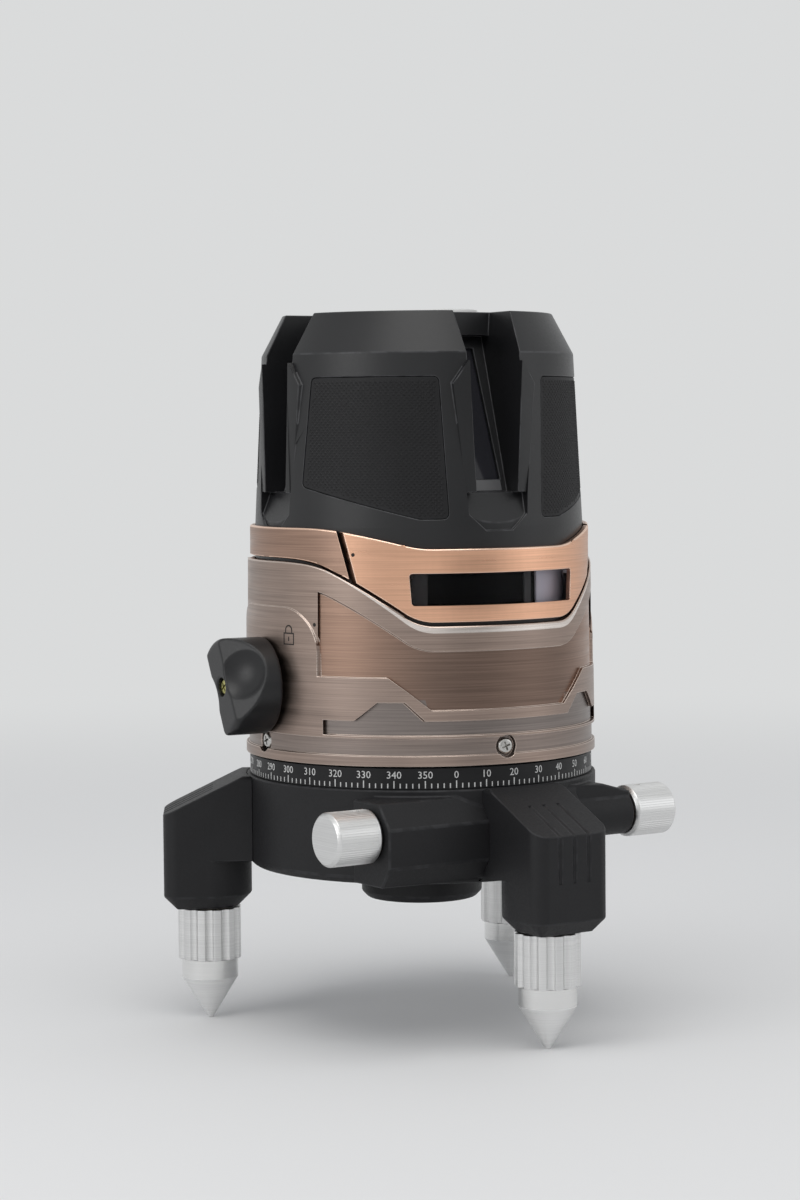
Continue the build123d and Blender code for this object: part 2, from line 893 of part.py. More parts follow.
def flank_column():
    return front_prism(mirrored([
        (sill_low_half, sill_low), (sill_half, sill_bevel), (flank_half, flank_bevel_top),
        (flank_top_half, flank_top),
    ]), -reach, 0)


def slot_sill():
    sill = side_prism([
        (-reach, sill_low), (-cap_r(sill_low), sill_low), (-sill_in, slot_floor), (-reach, slot_floor),
    ], flank_half)
    return flank_column() & sill


def grip_outline(inset, rear):
    low = grip_rear_low if rear else grip_front_low
    near_half = grip_low_half - inset
    return [
        (-grip_low_half + inset, grip_side_low + inset), (near_half - grip_flat, low + inset),
        (near_half, low + inset), (grip_top_half - inset, grip_top - inset),
        (-grip_top_half + inset, grip_top - inset),
    ]


def grip_zone(inset, side, rear):
    zone = front_prism(grip_outline(inset, rear), -reach, 0)
    zone = fillet(zone.edges().filter_by(Axis.Y), grip_round - inset)
    between = 180 / slot_count
    angle = 3 * between if rear else between
    if rear != (side > 0):
        zone = mirror(zone, Plane.YZ)
    return spun(zone, side * angle)


grip_places = {
    "front_left": (-1, False),
    "front_right": (1, False),
    "rear_left": (-1, True),
    "rear_right": (1, True),
}


def head_cap():
    top_slope = (cap_edge_r - cap_top_r) / (cap_top_z - cap_edge_z)
    body = turned([
        (0, cap_skirt_low), (cap_foot_r, cap_skirt_low), (cap_foot_r, cap_line_side_z),
        (cap_edge_r, cap_edge_z), (cap_top_r, cap_top_z), (0, cap_top_z),
    ])
    for i in range(slot_count):
        column = spun(flank_column(), i * 360 / slot_count)
        upright = disc(flank_r, sill_low - cut_past, flank_top + cut_past)
        body = (body - (column - upright)) + (column & upright)
    roof = cap_top_z - cap_wall
    hollow = turned([
        (0, cap_skirt_low - cut_past), (cap_foot_r - cap_wall, cap_skirt_low - cut_past),
        (cap_foot_r - cap_wall, cap_line_side_z), (cap_edge_r - cap_wall, cap_edge_z - cap_wall / 2),
        (cap_top_r + top_slope * cap_wall - cap_wall, roof), (0, roof),
    ])
    hollow -= disc(island_r, island_low, cap_top_z)
    for i in range(slot_count):
        hollow -= spun(slot_block(), i * 360 / slot_count)
    body -= hollow
    for i in range(slot_count):
        cuts = slot_channel() + slot_sill()
        cuts += pane_slab(pane_half, pane_margin, -cut_past, pane_wall + cut_past)
        rebate_margin = pane_margin - pane_rebate
        cuts += pane_slab(pane_half + pane_rebate, rebate_margin, pane_lip, pane_wall + cut_past)
        body -= spun(cuts, i * 360 / slot_count)
    for side, rear in grip_places.values():
        body -= cap_skin(cap_line_front_z, cap_edge_z, grip_depth, cut_past) & grip_zone(0, side, rear)
    frame_top = cap_skirt_low + 2 * frame_border + seam
    frame_side = frame_half + cut_past
    body -= block((-frame_side, -reach, cap_skirt_low - cut_past), (frame_side, 0, frame_top))
    body -= disc(panel_r + seam, cap_top_z - panel_height, cap_top_z + cut_past)
    for x, y in button_places():
        body -= disc(button_stem_r + button_gap, island_low - cut_past, cap_top_z, x, y)
    return body


def slot_windows():
    half = pane_half + pane_rebate - seam
    pane = pane_slab(half, pane_margin - pane_rebate + seam, pane_lip, pane_lip + pane_glass)
    return Compound([spun(pane, i * 360 / slot_count) for i in range(slot_count)])


def grip_pad(side, rear):
    skin = cap_skin(cap_line_front_z, cap_edge_z, grip_depth, -grip_sunk)
    return skin & grip_zone(grip_inset, side, rear)


# Top panel


def button_places():
    turns = [radians(angle) for angle in button_angles]
    return [(button_circle_r * sin(a), -button_circle_r * cos(a)) for a in turns]


def top_panel():
    body = disc(panel_r, cap_top_z - panel_height, cap_top_z)
    for x, y in button_places():
        body -= disc(button_r + button_gap, 0, cap_top_z + cut_past, x, y)
    return body - disc(vial_r + seam, 0, cap_top_z + cut_past, vial_x)


def push_button(x, y):
    low = cap_top_z - panel_height + button_travel + button_gap
    top = cap_top_z + button_proud
    cap = disc(button_r, low, top, x, y)
    cap = fillet(cap.edges().group_by(Axis.Z)[-1], button_proud / 2)
    return cap + disc(button_stem_r, island_low + button_travel, low + seam, x, y)


def bubble_vial():
    low = cap_top_z - panel_height
    top = cap_top_z + vial_proud
    body = disc(vial_r, low, top, vial_x)
    return fillet(body.edges().group_by(Axis.Z)[-1], vial_proud / 2)


def keypad_board():
    high = island_low - move_gap
    return disc(board_r, high - board_thickness, high)


# Lock


def lock_knob():
    body = rod(knob_r, (-knob_near_x, 0, 0), (-knob_end_x, 0, 0))
    body = fillet(body.edges().group_by(Axis.X)[0], knob_round)
    face_x = -knob_near_x - knob_disc
    body &= plan_prism([
        (0, knob_r), (face_x, knob_r), (-knob_end_x, knob_wing_half), (-knob_end_x, -knob_wing_half),
        (face_x, -knob_r), (0, -knob_r),
    ], -knob_r, knob_r)
    scoop_x = face_x - knob_scoop_r
    scoop_y = knob_wing_waist + sqrt(knob_scoop_r ** 2 - (scoop_x + knob_end_x) ** 2)
    for side in (-1, 1):
        body -= Pos(scoop_x, side * scoop_y, 0) * Sphere(knob_scoop_r)
    body -= rod(lock_shaft_r, (0, 0, 0), (-knob_shaft_end, 0, 0))
    body -= rod(knob_screw_shank_r, (0, 0, 0), (-reach, 0, 0))
    body -= rod(knob_screw_r + seam, (-knob_seat_x, 0, 0), (-reach, 0, 0))
    return Pos(0, 0, lock_z) * Rot(-knob_tilt, 0, 0) * body


def knob_screw():
    body = rod(knob_screw_r, (-knob_seat_x, 0, 0), (-knob_seat_x - knob_screw_head, 0, 0))
    body = fillet(body.edges().group_by(Axis.X)[0], knob_screw_round)
    shank_end = knob_screw_len - knob_seat_x
    body += rod(knob_screw_shank_r - run_fit, (-knob_seat_x, 0, 0), (shank_end, 0, 0))
    return Pos(0, 0, lock_z) * body


def lock_shaft():
    tail = lock_house_r - run_fit
    body = rod(lock_shaft_r, (-knob_shaft_end, 0, lock_z), (tail, 0, lock_z))
    hole_end = knob_screw_hole - knob_shaft_end
    return body - rod(knob_screw_shank_r, (-knob_shaft_end - cut_past, 0, lock_z), (hole_end, 0, lock_z))


def lock_bush():
    inner = shell_inner_r - lock_bush_r / 2
    past = pad_face_x + cut_past
    body = rod(lock_bush_r, (-inner, 0, lock_z), (-pad_face_x, 0, lock_z))
    return body - rod(lock_shaft_r + run_fit, (-inner + cut_past, 0, lock_z), (-past, 0, lock_z))


def lock_cam():
    rest = radians(-knob_swing / 2)
    y = cam_throw * cos(rest)
    z = lock_z + cam_throw * sin(rest)
    body = rod(cam_r, (-cam_half, y, z), (cam_half, y, z))
    return body - rod(lock_shaft_r, (-cam_half - cut_past, 0, lock_z), (cam_half + cut_past, 0, lock_z))


def lock_plunger():
    body = disc(plunger_r, plunger_low, plunger_low + plunger_plate)
    return body + disc(plunger_tip_r, plunger_low + plunger_plate - seam, plunger_tip_z)


def lock_housing():
    foot_z = plate_low + turntable_plate
    bore_r = plunger_r + run_fit
    body = disc(lock_house_r, foot_z, lock_house_top)
    body += disc(magnet_flange_r, lock_house_top - magnet_flange, lock_house_top)
    body -= disc(bore_r, foot_z + cap_wall, lock_house_top + cut_past)
    return body - rod(lock_shaft_r + run_fit, (-reach, 0, lock_z), (reach, 0, lock_z))


def damper_magnets():
    magnet = disc(magnet_r, lock_house_top, lock_house_top + magnet_height, magnet_circle_r)
    return Compound([spun(magnet, (i + 0.5) * 360 / magnet_count) for i in range(magnet_count)])


# Gimbal and pendulum


def gimbal_bracket():
    foot_z = plate_low + turntable_plate
    low = gimbal_z - gimbal_half
    high = gimbal_z + gimbal_half
    middle_r = (bracket_inner_r + bracket_outer_r) / 2
    body = ring(bracket_outer_r, bracket_inner_r, low, high)
    for angle in (post_angle, 180 - post_angle, -post_angle, post_angle - 180):
        arm = block((-post_r, -post_circle_r, low), (post_r, -middle_r, high))
        arm += disc(post_r, foot_z, high, 0, -post_circle_r)
        body += spun(arm, angle)
    return body - rod(bearing_r, (-reach, 0, gimbal_z), (reach, 0, gimbal_z))


def gimbal_bearings():
    near = bracket_inner_r + seam
    bearing = rod(bearing_r, (near, 0, gimbal_z), (near + bearing_len, 0, gimbal_z))
    bearing -= rod(trunnion_r + run_fit, (near - cut_past, 0, gimbal_z), (reach, 0, gimbal_z))
    return Compound([bearing, spun(bearing, 180)])


def gimbal_ring():
    body = ring(ring_outer_r, ring_inner_r, gimbal_z - gimbal_half, gimbal_z + gimbal_half)
    for side in (-1, 1):
        end = side * (bracket_inner_r + bearing_len)
        body += rod(trunnion_r, (side * (ring_outer_r - seam), 0, gimbal_z), (end, 0, gimbal_z))
    return body - rod(axle_r + run_fit, (0, -reach, gimbal_z), (0, reach, gimbal_z))


def pendulum_axle():
    end = ring_outer_r - seam
    return rod(axle_r, (0, -end, gimbal_z), (0, end, gimbal_z))


def laser_point(distance):
    middle_r = (pane_low_r + pane_top_r) / 2 - distance * pane_out
    middle_z = (slot_floor + pane_top_z) / 2 - distance * pane_up
    return (0, -middle_r, middle_z)


def pendulum():
    meet = (pane_low_r + pane_top_r) / 2 / pane_out
    body = disc(stem_r, stem_low, laser_point(meet)[2] + laser_r)
    body += disc(hub_ball_r, gimbal_z - gimbal_half, gimbal_z + gimbal_half)
    bores = []
    for i in range(slot_count):
        back = laser_back + laser_len
        sleeve = rod(laser_r + sleeve_wall, laser_point(back - sleeve_len), laser_point(meet))
        body += spun(sleeve, i * 360 / slot_count)
        bores.append(spun(rod(laser_r, laser_point(0), laser_point(back)), i * 360 / slot_count))
    back_y = level_laser_front - laser_len
    body += rod(laser_r + sleeve_wall, (0, 0, level_laser_z), (0, -back_y - sleeve_len, level_laser_z))
    bores.append(rod(laser_r, (0, -back_y, level_laser_z), (0, -reach, level_laser_z)))
    for bore in bores:
        body -= bore
    return body - rod(axle_r, (0, -reach, gimbal_z), (0, reach, gimbal_z))


def vertical_lasers():
    laser = rod(laser_r, laser_point(laser_back), laser_point(laser_back + laser_len))
    return Compound([spun(laser, i * 360 / slot_count) for i in range(slot_count)])


def horizontal_laser():
    back = laser_len - level_laser_front
    return rod(laser_r, (0, -level_laser_front, level_laser_z), (0, back, level_laser_z))


def damping_disc():
    return disc(disc_r, stem_low - disc_height, stem_low)


# Battery bay and boards


def battery_box():
    body = block((-bay_half, bay_front, bay_low), (bay_half, bay_back, bay_high))
    inner = bay_half - bay_wall
    low = (-inner, bay_front + bay_wall, bay_low + bay_wall)
    return body - block(low, (inner, bay_back + cut_past, bay_high - bay_wall))


def battery_pack():
    inner = bay_half - bay_wall - pack_clear
    low = bay_low + bay_wall
    high = bay_high - bay_wall - pack_clear
    body = block((-inner, bay_front + bay_wall, low), (inner, bay_back - pack_clear, high))
    return fillet(body.edges().filter_by(Axis.Z), bay_wall)


def battery_cover():
    y = hatch_axis_y()
    face = hatch_face - seam
    body = block((-hatch_half, face - hatch_thickness, hatch_low), (hatch_half, face, hatch_high))
    body += rod(hatch_barrel_r, (-hatch_half, y, hatch_low), (hatch_half, y, hatch_low))
    return body - rod(hatch_pin_r + run_fit, (-reach, y, hatch_low), (reach, y, hatch_low))


def cover_pin():
    return rod(hatch_pin_r, (-pin_end(), hatch_axis_y(), hatch_low), (pin_end(), hatch_axis_y(), hatch_low))


def main_board():
    foot_z = plate_low + turntable_plate
    back_x = main_board_x + board_thickness
    return block((main_board_x, -main_board_half, foot_z), (back_x, main_board_half, main_board_top))


nodes = {
    "base_casting": base_casting(),
    "base_legs": base_legs(),
    "tripod_hub": tripod_hub(),
    "foot_bushes": foot_bushes(),
    "spindle_bush": spindle_bush(),
    "scale_ring": scale_ring(),
    "worm_bushes": worm_bushes(),
    "worm_shaft": worm_shaft(),
    "fine_knob_left": fine_knob(-1),
    "fine_knob_right": fine_knob(1),
    "knob_grub_screws": grub_screws(),
    "worm_ring": worm_ring(),
    "friction_washer": friction_washer(),
    "turntable": turntable(),
    "spindle_nut": spindle_nut(),
    "body_shell": body_shell(),
    "shell_screws": shell_screws(),
    "upper_band": upper_band(),
    "window_bezel": window_bezel(),
    "window_frame": window_frame(),
    "horizontal_window": horizontal_window(),
    "head_cap": head_cap(),
    "slot_windows": slot_windows(),
    "top_panel": top_panel(),
    "bubble_vial": bubble_vial(),
    "keypad_board": keypad_board(),
    "lock_knob": lock_knob(),
    "knob_screw": knob_screw(),
    "lock_shaft": lock_shaft(),
    "lock_bush": lock_bush(),
    "lock_cam": lock_cam(),
    "lock_plunger": lock_plunger(),
    "lock_housing": lock_housing(),
    "damper_magnets": damper_magnets(),
    "gimbal_bracket": gimbal_bracket(),
    "gimbal_bearings": gimbal_bearings(),
    "gimbal_ring": gimbal_ring(),
    "pendulum_axle": pendulum_axle(),
    "pendulum": pendulum(),
    "vertical_lasers": vertical_lasers(),
    "horizontal_laser": horizontal_laser(),
    "damping_disc": damping_disc(),
    "battery_box": battery_box(),
    "battery_pack": battery_pack(),
    "battery_cover": battery_cover(),
    "cover_pin": cover_pin(),
    "main_board": main_board(),
}
for name, (side, rear) in grip_places.items():
    nodes["grip_pad_" + name] = grip_pad(side, rear)
for name, (x, y) in zip(("front", "middle", "rear"), button_places()):
    nodes["button_" + name] = push_button(x, y)
for i, (solid, clip) in enumerate(zip(at_feet(foot()), at_feet(foot_clip()))):
    nodes["foot_" + str(i + 1)] = solid
    nodes["foot_clip_" + str(i + 1)] = clip

os.makedirs("parts", exist_ok=True)
for name, shape in nodes.items():
    export_step(shape, "parts/" + name + ".step")
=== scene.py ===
import json
import math
import bmesh
import bpy
from mathutils import Matrix, Vector
from mathutils.bvhtree import BVHTree


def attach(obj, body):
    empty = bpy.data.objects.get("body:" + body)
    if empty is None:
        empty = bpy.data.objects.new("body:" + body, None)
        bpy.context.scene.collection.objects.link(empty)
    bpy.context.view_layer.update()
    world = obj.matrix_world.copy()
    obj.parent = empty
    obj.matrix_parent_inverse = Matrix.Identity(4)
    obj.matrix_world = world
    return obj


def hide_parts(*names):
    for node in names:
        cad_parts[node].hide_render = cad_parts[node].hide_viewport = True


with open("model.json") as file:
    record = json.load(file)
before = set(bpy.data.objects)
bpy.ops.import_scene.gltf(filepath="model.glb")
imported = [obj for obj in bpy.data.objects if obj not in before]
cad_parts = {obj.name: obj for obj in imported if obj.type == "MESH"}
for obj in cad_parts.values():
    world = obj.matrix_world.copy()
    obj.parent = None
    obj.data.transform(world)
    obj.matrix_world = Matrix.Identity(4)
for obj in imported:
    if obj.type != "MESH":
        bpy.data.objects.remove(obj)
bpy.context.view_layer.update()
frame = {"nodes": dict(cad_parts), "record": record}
cadNode = frame["nodes"]
bodyOf = {n: b for b, names in frame["record"]["behaviour"]["bodies"].items() for n in names}
slotOf = {p["node"]: p["material_slot"] for p in frame["record"]["subparts"]}
scene = bpy.context.scene
mm = 0.001
print("frame:", len(cadNode), "nodes")


def linked(obj):
    scene.collection.objects.link(obj)
    return obj


def fromBmesh(name, bm, material):
    mesh = bpy.data.meshes.new(name)
    bm.to_mesh(mesh)
    bm.free()
    mesh.materials.append(material)
    return linked(bpy.data.objects.new(name, mesh))


def evaluatedMesh(obj):
    bpy.context.view_layer.update()
    depsgraph = bpy.context.evaluated_depsgraph_get()
    return bpy.data.meshes.new_from_object(obj.evaluated_get(depsgraph), depsgraph=depsgraph)


def applied(obj):  # modifiers become plain mesh
    mesh = evaluatedMesh(obj)
    obj.modifiers.clear()
    obj.data = mesh
    return obj


def smoothed(obj, limit=40):  # edges over this angle stay sharp
    for face in obj.data.polygons:
        face.use_smooth = True
    obj.data.set_sharp_from_angle(angle=math.radians(limit))
    return obj


def rotated(angle, axis):
    return Matrix.Rotation(math.radians(angle), 4, axis)


def polar(radius, angle, z):  # angle in degrees from the front towards +X
    a = math.radians(angle)
    return Vector((radius * math.sin(a), -radius * math.cos(a), z))


def camel(words):
    first, *others = words.split("_")
    return first + "".join(word.capitalize() for word in others)


def rides(obj, body):
    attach(obj, body)
    return obj


def standsFor(obj, node):
    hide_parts(node)
    return rides(obj, bodyOf[node])


photoCamera = {"at": (-0.41903, -0.77553, 0.14209), "heading": -28.0, "down": 3.3749, "roll": -0.5191,
               "lens": 87.233, "sensor": 36.0, "near": 0.05, "far": 50.0}
cameraData = bpy.data.cameras.new("photoCamera")
cameraData.lens = photoCamera["lens"]
cameraData.sensor_width = photoCamera["sensor"]
cameraData.clip_start = photoCamera["near"]
cameraData.clip_end = photoCamera["far"]
cameraObject = linked(bpy.data.objects.new("photoCamera", cameraData))
aim = rotated(photoCamera["heading"], "Z") @ rotated(90.0 - photoCamera["down"], "X")
aim = aim @ rotated(photoCamera["roll"], "Z")
cameraObject.matrix_world = Matrix.Translation(photoCamera["at"]) @ aim
scene.camera = cameraObject
print("camera set")


def addNode(tree, kind, **settings):
    made = tree.nodes.new(kind)
    for key, value in settings.items():
        setattr(made, key, value)
    return made


def chain(tree, *pairs):
    for source, target in pairs:
        tree.links.new(source, target)


def feed(tree, socket, value):  # a number, a colour or another node's output
    if isinstance(value, tuple):
        socket.default_value = (*value, 1.0)
    elif isinstance(value, (int, float)):
        socket.default_value = value
    else:
        tree.links.new(value, socket)


def mathNode(tree, operation, first, second=None):
    made = addNode(tree, "ShaderNodeMath", operation=operation)
    feed(tree, made.inputs[0], first)
    if second is not None:
        feed(tree, made.inputs[1], second)
    return made.outputs[0]


def vectorNode(tree, operation, vector, second=None):
    made = addNode(tree, "ShaderNodeVectorMath", operation=operation)
    tree.links.new(vector, made.inputs[0])
    if second is not None:
        made.inputs[1].default_value = second
    return made.outputs


def noiseNode(tree, vector, scale, detail=2.0, roughness=0.5):
    made = addNode(tree, "ShaderNodeTexNoise")
    made.inputs["Detail"].default_value = detail
    made.inputs["Roughness"].default_value = roughness
    tree.links.new(vector, made.inputs["Vector"])
    feed(tree, made.inputs["Scale"], scale)
    return made.outputs["Fac"]


def rangeNode(tree, value, low, high, toLow=0.0, toHigh=1.0, smooth=False):
    kind = "SMOOTHSTEP" if smooth else "LINEAR"
    made = addNode(tree, "ShaderNodeMapRange", interpolation_type=kind)
    for label, number in zip(("From Min", "From Max", "To Min", "To Max"), (low, high, toLow, toHigh)):
        feed(tree, made.inputs[label], number)
    tree.links.new(value, made.inputs["Value"])
    return made.outputs["Result"]


def mixColor(tree, share, first, second, blend="MIX"):
    made = addNode(tree, "ShaderNodeMix", data_type="RGBA", blend_type=blend)
    for place, value in ((0, share), (6, first), (7, second)):  # the colour sockets of the node
        feed(tree, made.inputs[place], value)
    return made.outputs[2]


def startMaterial(name, **settings):
    material = bpy.data.materials.new(name)
    material.use_nodes = True
    shader = material.node_tree.nodes["Principled BSDF"]
    for label, value in settings.items():
        feed(material.node_tree, shader.inputs[label.replace("_", " ")], value)
    return material, material.node_tree, shader


studio = {
    "backdrop": (0.70, 0.708, 0.710), "ambient": 0.58, "ambientColor": (0.95, 0.97, 1.0),
    "floorColor": (0.78, 0.78, 0.78), "floorRough": 0.7, "floorGloss": 0.15, "floorZ": -0.0363,
    "floorR": 1.25, "fadeFrom": 0.30, "fadeTo": 1.1, "lookAt": (0, 0, 0.07),
    "darkAt": 8.0, "darkWide": 26.0, "darkShare": 0.55,
    "lamps": [  # name, place, size, watts, colour
        ("topSoftbox", (-0.15, -0.35, 1.25), 1.1, 6.1, (1.0, 0.99, 0.97)),
        ("leftSoftbox", (-1.25, -0.25, 0.55), 0.9, 3.9, (1.0, 1.0, 1.0)),
        ("rightSoftbox", (0.95, -0.75, 0.45), 0.8, 1.0, (0.97, 0.98, 1.0)),
    ],
}
world = bpy.data.worlds.new("studioWorld")
scene.world = world
world.use_nodes = True
sky = world.node_tree
sky.nodes.clear()
rayKind = addNode(sky, "ShaderNodeLightPath").outputs
seen = mathNode(sky, "MAXIMUM", rayKind["Is Camera Ray"], rayKind["Is Glossy Ray"])
seen = mathNode(sky, "MAXIMUM", seen, rayKind["Is Transmission Ray"])


def background(color, strength):
    made = addNode(sky, "ShaderNodeBackground")
    feed(sky, made.inputs["Color"], color)
    feed(sky, made.inputs["Strength"], strength)
    return made.outputs[0]


fillLight = background(studio["ambientColor"], studio["ambient"])
# the room has a dark side in front, which shows only in gloss
roomPlace = addNode(sky, "ShaderNodeTexCoord").outputs["Generated"]
roomSide = vectorNode(sky, "DOT_PRODUCT", roomPlace, polar(1.0, studio["darkAt"], 0.0))["Value"]
darkEdge = math.cos(math.radians(studio["darkWide"]))
roomDark = rangeNode(sky, roomSide, darkEdge, 1.0, 0.0, studio["darkShare"], True)
inGloss = mathNode(sky, "MULTIPLY", roomDark, rayKind["Is Glossy Ray"])
seenLight = background(studio["backdrop"], mathNode(sky, "SUBTRACT", 1.0, inGloss))
bothLights = addNode(sky, "ShaderNodeMixShader")
skyOut = addNode(sky, "ShaderNodeOutputWorld")
chain(sky, (seen, bothLights.inputs["Fac"]), (fillLight, bothLights.inputs[1]),
      (seenLight, bothLights.inputs[2]), (bothLights.outputs[0], skyOut.inputs["Surface"]))
for name, spot, size, watts, tint in studio["lamps"]:
    lampData = bpy.data.lights.new(name, "AREA")
    lampData.shape = "DISK"
    lampData.size = size
    lampData.energy = watts
    lampData.color = tint
    lamp = linked(bpy.data.objects.new(name, lampData))
    lamp.location = spot
    lamp.rotation_mode = "QUATERNION"
    lamp.rotation_quaternion = (Vector(studio["lookAt"]) - Vector(spot)).to_track_quat("-Z", "Y")

floorMaterial, floorTree, floorShader = startMaterial(
    "paleFloor", Base_Color=studio["floorColor"], Roughness=studio["floorRough"],
    Specular_IOR_Level=studio["floorGloss"])
floorGlow = addNode(floorTree, "ShaderNodeEmission")
feed(floorTree, floorGlow.inputs["Color"], studio["backdrop"])
floorPlace = addNode(floorTree, "ShaderNodeTexCoord").outputs["Object"]
floorReach = vectorNode(floorTree, "LENGTH", floorPlace)["Value"]
floorFade = rangeNode(floorTree, floorReach, studio["fadeFrom"], studio["fadeTo"], smooth=True)
floorMix = addNode(floorTree, "ShaderNodeMixShader")
chain(floorTree, (floorFade, floorMix.inputs["Fac"]), (floorShader.outputs[0], floorMix.inputs[1]),
      (floorGlow.outputs[0], floorMix.inputs[2]),
      (floorMix.outputs[0], floorTree.nodes["Material Output"].inputs["Surface"]))
floorBm = bmesh.new()
bmesh.ops.create_circle(floorBm, cap_ends=True, segments=96, radius=studio["floorR"])
bmesh.ops.translate(floorBm, verts=floorBm.verts, vec=(0, 0, studio["floorZ"]))
floor = fromBmesh("studioFloor", floorBm, floorMaterial)
scene.view_settings.view_transform = "Standard"
print("studio set")


def shaderGroup(name, inputs, outputs):
    group = bpy.data.node_groups.new(name, "ShaderNodeTree")
    for label, value in inputs:
        made = group.interface.new_socket(label, in_out="INPUT", socket_type="NodeSocketFloat")
        made.default_value = value
    for label in outputs:
        group.interface.new_socket(label, in_out="OUTPUT", socket_type="NodeSocketFloat")
    place = addNode(group, "ShaderNodeTexCoord").outputs["Object"]
    return group, group.nodes.new("NodeGroupInput").outputs, group.nodes.new("NodeGroupOutput").inputs, place


def axesOf(tree, vector):
    made = addNode(tree, "ShaderNodeSeparateXYZ")
    tree.links.new(vector, made.inputs[0])
    return made.outputs


noiseSpan = (0.3, 0.7)  # the part of a noise that carries its contrast

# moulded grain: fine pits and a soft cloud of shade
grainGroup, grainIn, grainOut, grainPlace = shaderGroup(
    "mouldGrain", [("Pit Scale", 1800.0), ("Cloud Scale", 45.0)], ["Height", "Shade"])
pits = noiseNode(grainGroup, grainPlace, grainIn["Pit Scale"], 3.0, 0.6)
cloud = noiseNode(grainGroup, grainPlace, grainIn["Cloud Scale"], 3.0)
chain(grainGroup, (pits, grainOut["Height"]),
      (rangeNode(grainGroup, cloud, 0.35, 0.65), grainOut["Shade"]))

# edge wear and painted highlight: lighter patches along the bevelled edges, which carry the attribute "rim"
wearHighlightGroup, wearHighlightIn, wearHighlightOut, wearHighlightPlace = shaderGroup("edgeWear", [("Start", 0.40), ("Full", 0.60)], ["Mask"])
rimWearHighlight = addNode(wearHighlightGroup, "ShaderNodeAttribute", attribute_name="rim").outputs["Fac"]
wearHighlightCloud = noiseNode(wearHighlightGroup, wearHighlightPlace, 260.0)
wearHighlightPatch = rangeNode(wearHighlightGroup, wearHighlightCloud, wearHighlightIn["Start"], wearHighlightIn["Full"], 0.25, 1.0, True)
wearHighlightGroup.links.new(mathNode(wearHighlightGroup, "MULTIPLY", rimWearHighlight, wearHighlightPatch), wearHighlightOut["Mask"])

# brush lines that run round the upright axis
brushGroup, brushIn, brushOut, brushPlace = shaderGroup(
    "brushLines", [("Line Scale", 2600.0), ("Round Scale", 26.0)], ["Streak", "Height", "Band"])
brushAxes = axesOf(brushGroup, brushPlace)
brushSpot = addNode(brushGroup, "ShaderNodeCombineXYZ")
for axis, density in (("X", "Round Scale"), ("Y", "Round Scale"), ("Z", "Line Scale")):
    spread = mathNode(brushGroup, "MULTIPLY", brushAxes[axis], brushIn[density])
    brushGroup.links.new(spread, brushSpot.inputs[axis])
streak = noiseNode(brushGroup, brushSpot.outputs[0], 1.0, 3.0, 0.6)
brushWide = vectorNode(brushGroup, "MULTIPLY", brushSpot.outputs[0], (1.0, 1.0, 0.12))[0]
bandNoise = noiseNode(brushGroup, brushWide, 1.0, 2.0)
chain(brushGroup, (rangeNode(brushGroup, streak, *noiseSpan), brushOut["Streak"]),
      (streak, brushOut["Height"]), (rangeNode(brushGroup, bandNoise, *noiseSpan), brushOut["Band"]))


def groupNode(tree, group, **values):
    made = addNode(tree, "ShaderNodeGroup", node_tree=group)
    for label, value in values.items():
        made.inputs[label.replace("_", " ")].default_value = value
    return made.outputs


def surface(tree, shader, color, roughness, height, strength, depth):
    bump = addNode(tree, "ShaderNodeBump")
    bump.inputs["Strength"].default_value = strength
    bump.inputs["Distance"].default_value = depth
    chain(tree, (color, shader.inputs["Base Color"]), (roughness, shader.inputs["Roughness"]),
          (height, bump.inputs["Height"]), (bump.outputs[0], shader.inputs["Normal"]))


pitDepth = 0.06 * mm
brushDepth = 0.03 * mm
metalSpread = (-0.05, 0.07)  # how far the roughness goes from its mean value
antiqueSpread = (-0.06, 0.08)
glassSpread = (0.0, 0.02)


def spreadOf(tree, value, rough, spread):
    return rangeNode(tree, value, 0.0, 1.0, rough + spread[0], rough + spread[1])


def plasticMaterial(name, dark, light, wornAndHighlight, roughLow, roughHigh, pit, bump, specular=0.28):
    material, tree, shader = startMaterial(name, Specular_IOR_Level=specular)
    grain = groupNode(tree, grainGroup, Pit_Scale=pit)
    wearHighlight = groupNode(tree, wearHighlightGroup)
    base = mixColor(tree, grain["Shade"], dark, light)
    # the bevelled edges turn lighter: worn patches that also stand for a painted highlight
    color = mixColor(tree, wearHighlight["Mask"], base, wornAndHighlight)
    roughness = rangeNode(tree, grain["Height"], *noiseSpan, roughLow, roughHigh)
    surface(tree, shader, color, roughness, grain["Height"], bump, pitDepth)
    return material


def metalMaterial(name, dark, light, rough, lines, bump=0.08):
    material, tree, shader = startMaterial(name, Metallic=1.0)
    brush = groupNode(tree, brushGroup, Line_Scale=lines)
    color = mixColor(tree, brush["Streak"], dark, light)
    roughness = spreadOf(tree, brush["Streak"], rough, metalSpread)
    surface(tree, shader, color, roughness, brush["Height"], bump, brushDepth)
    return material


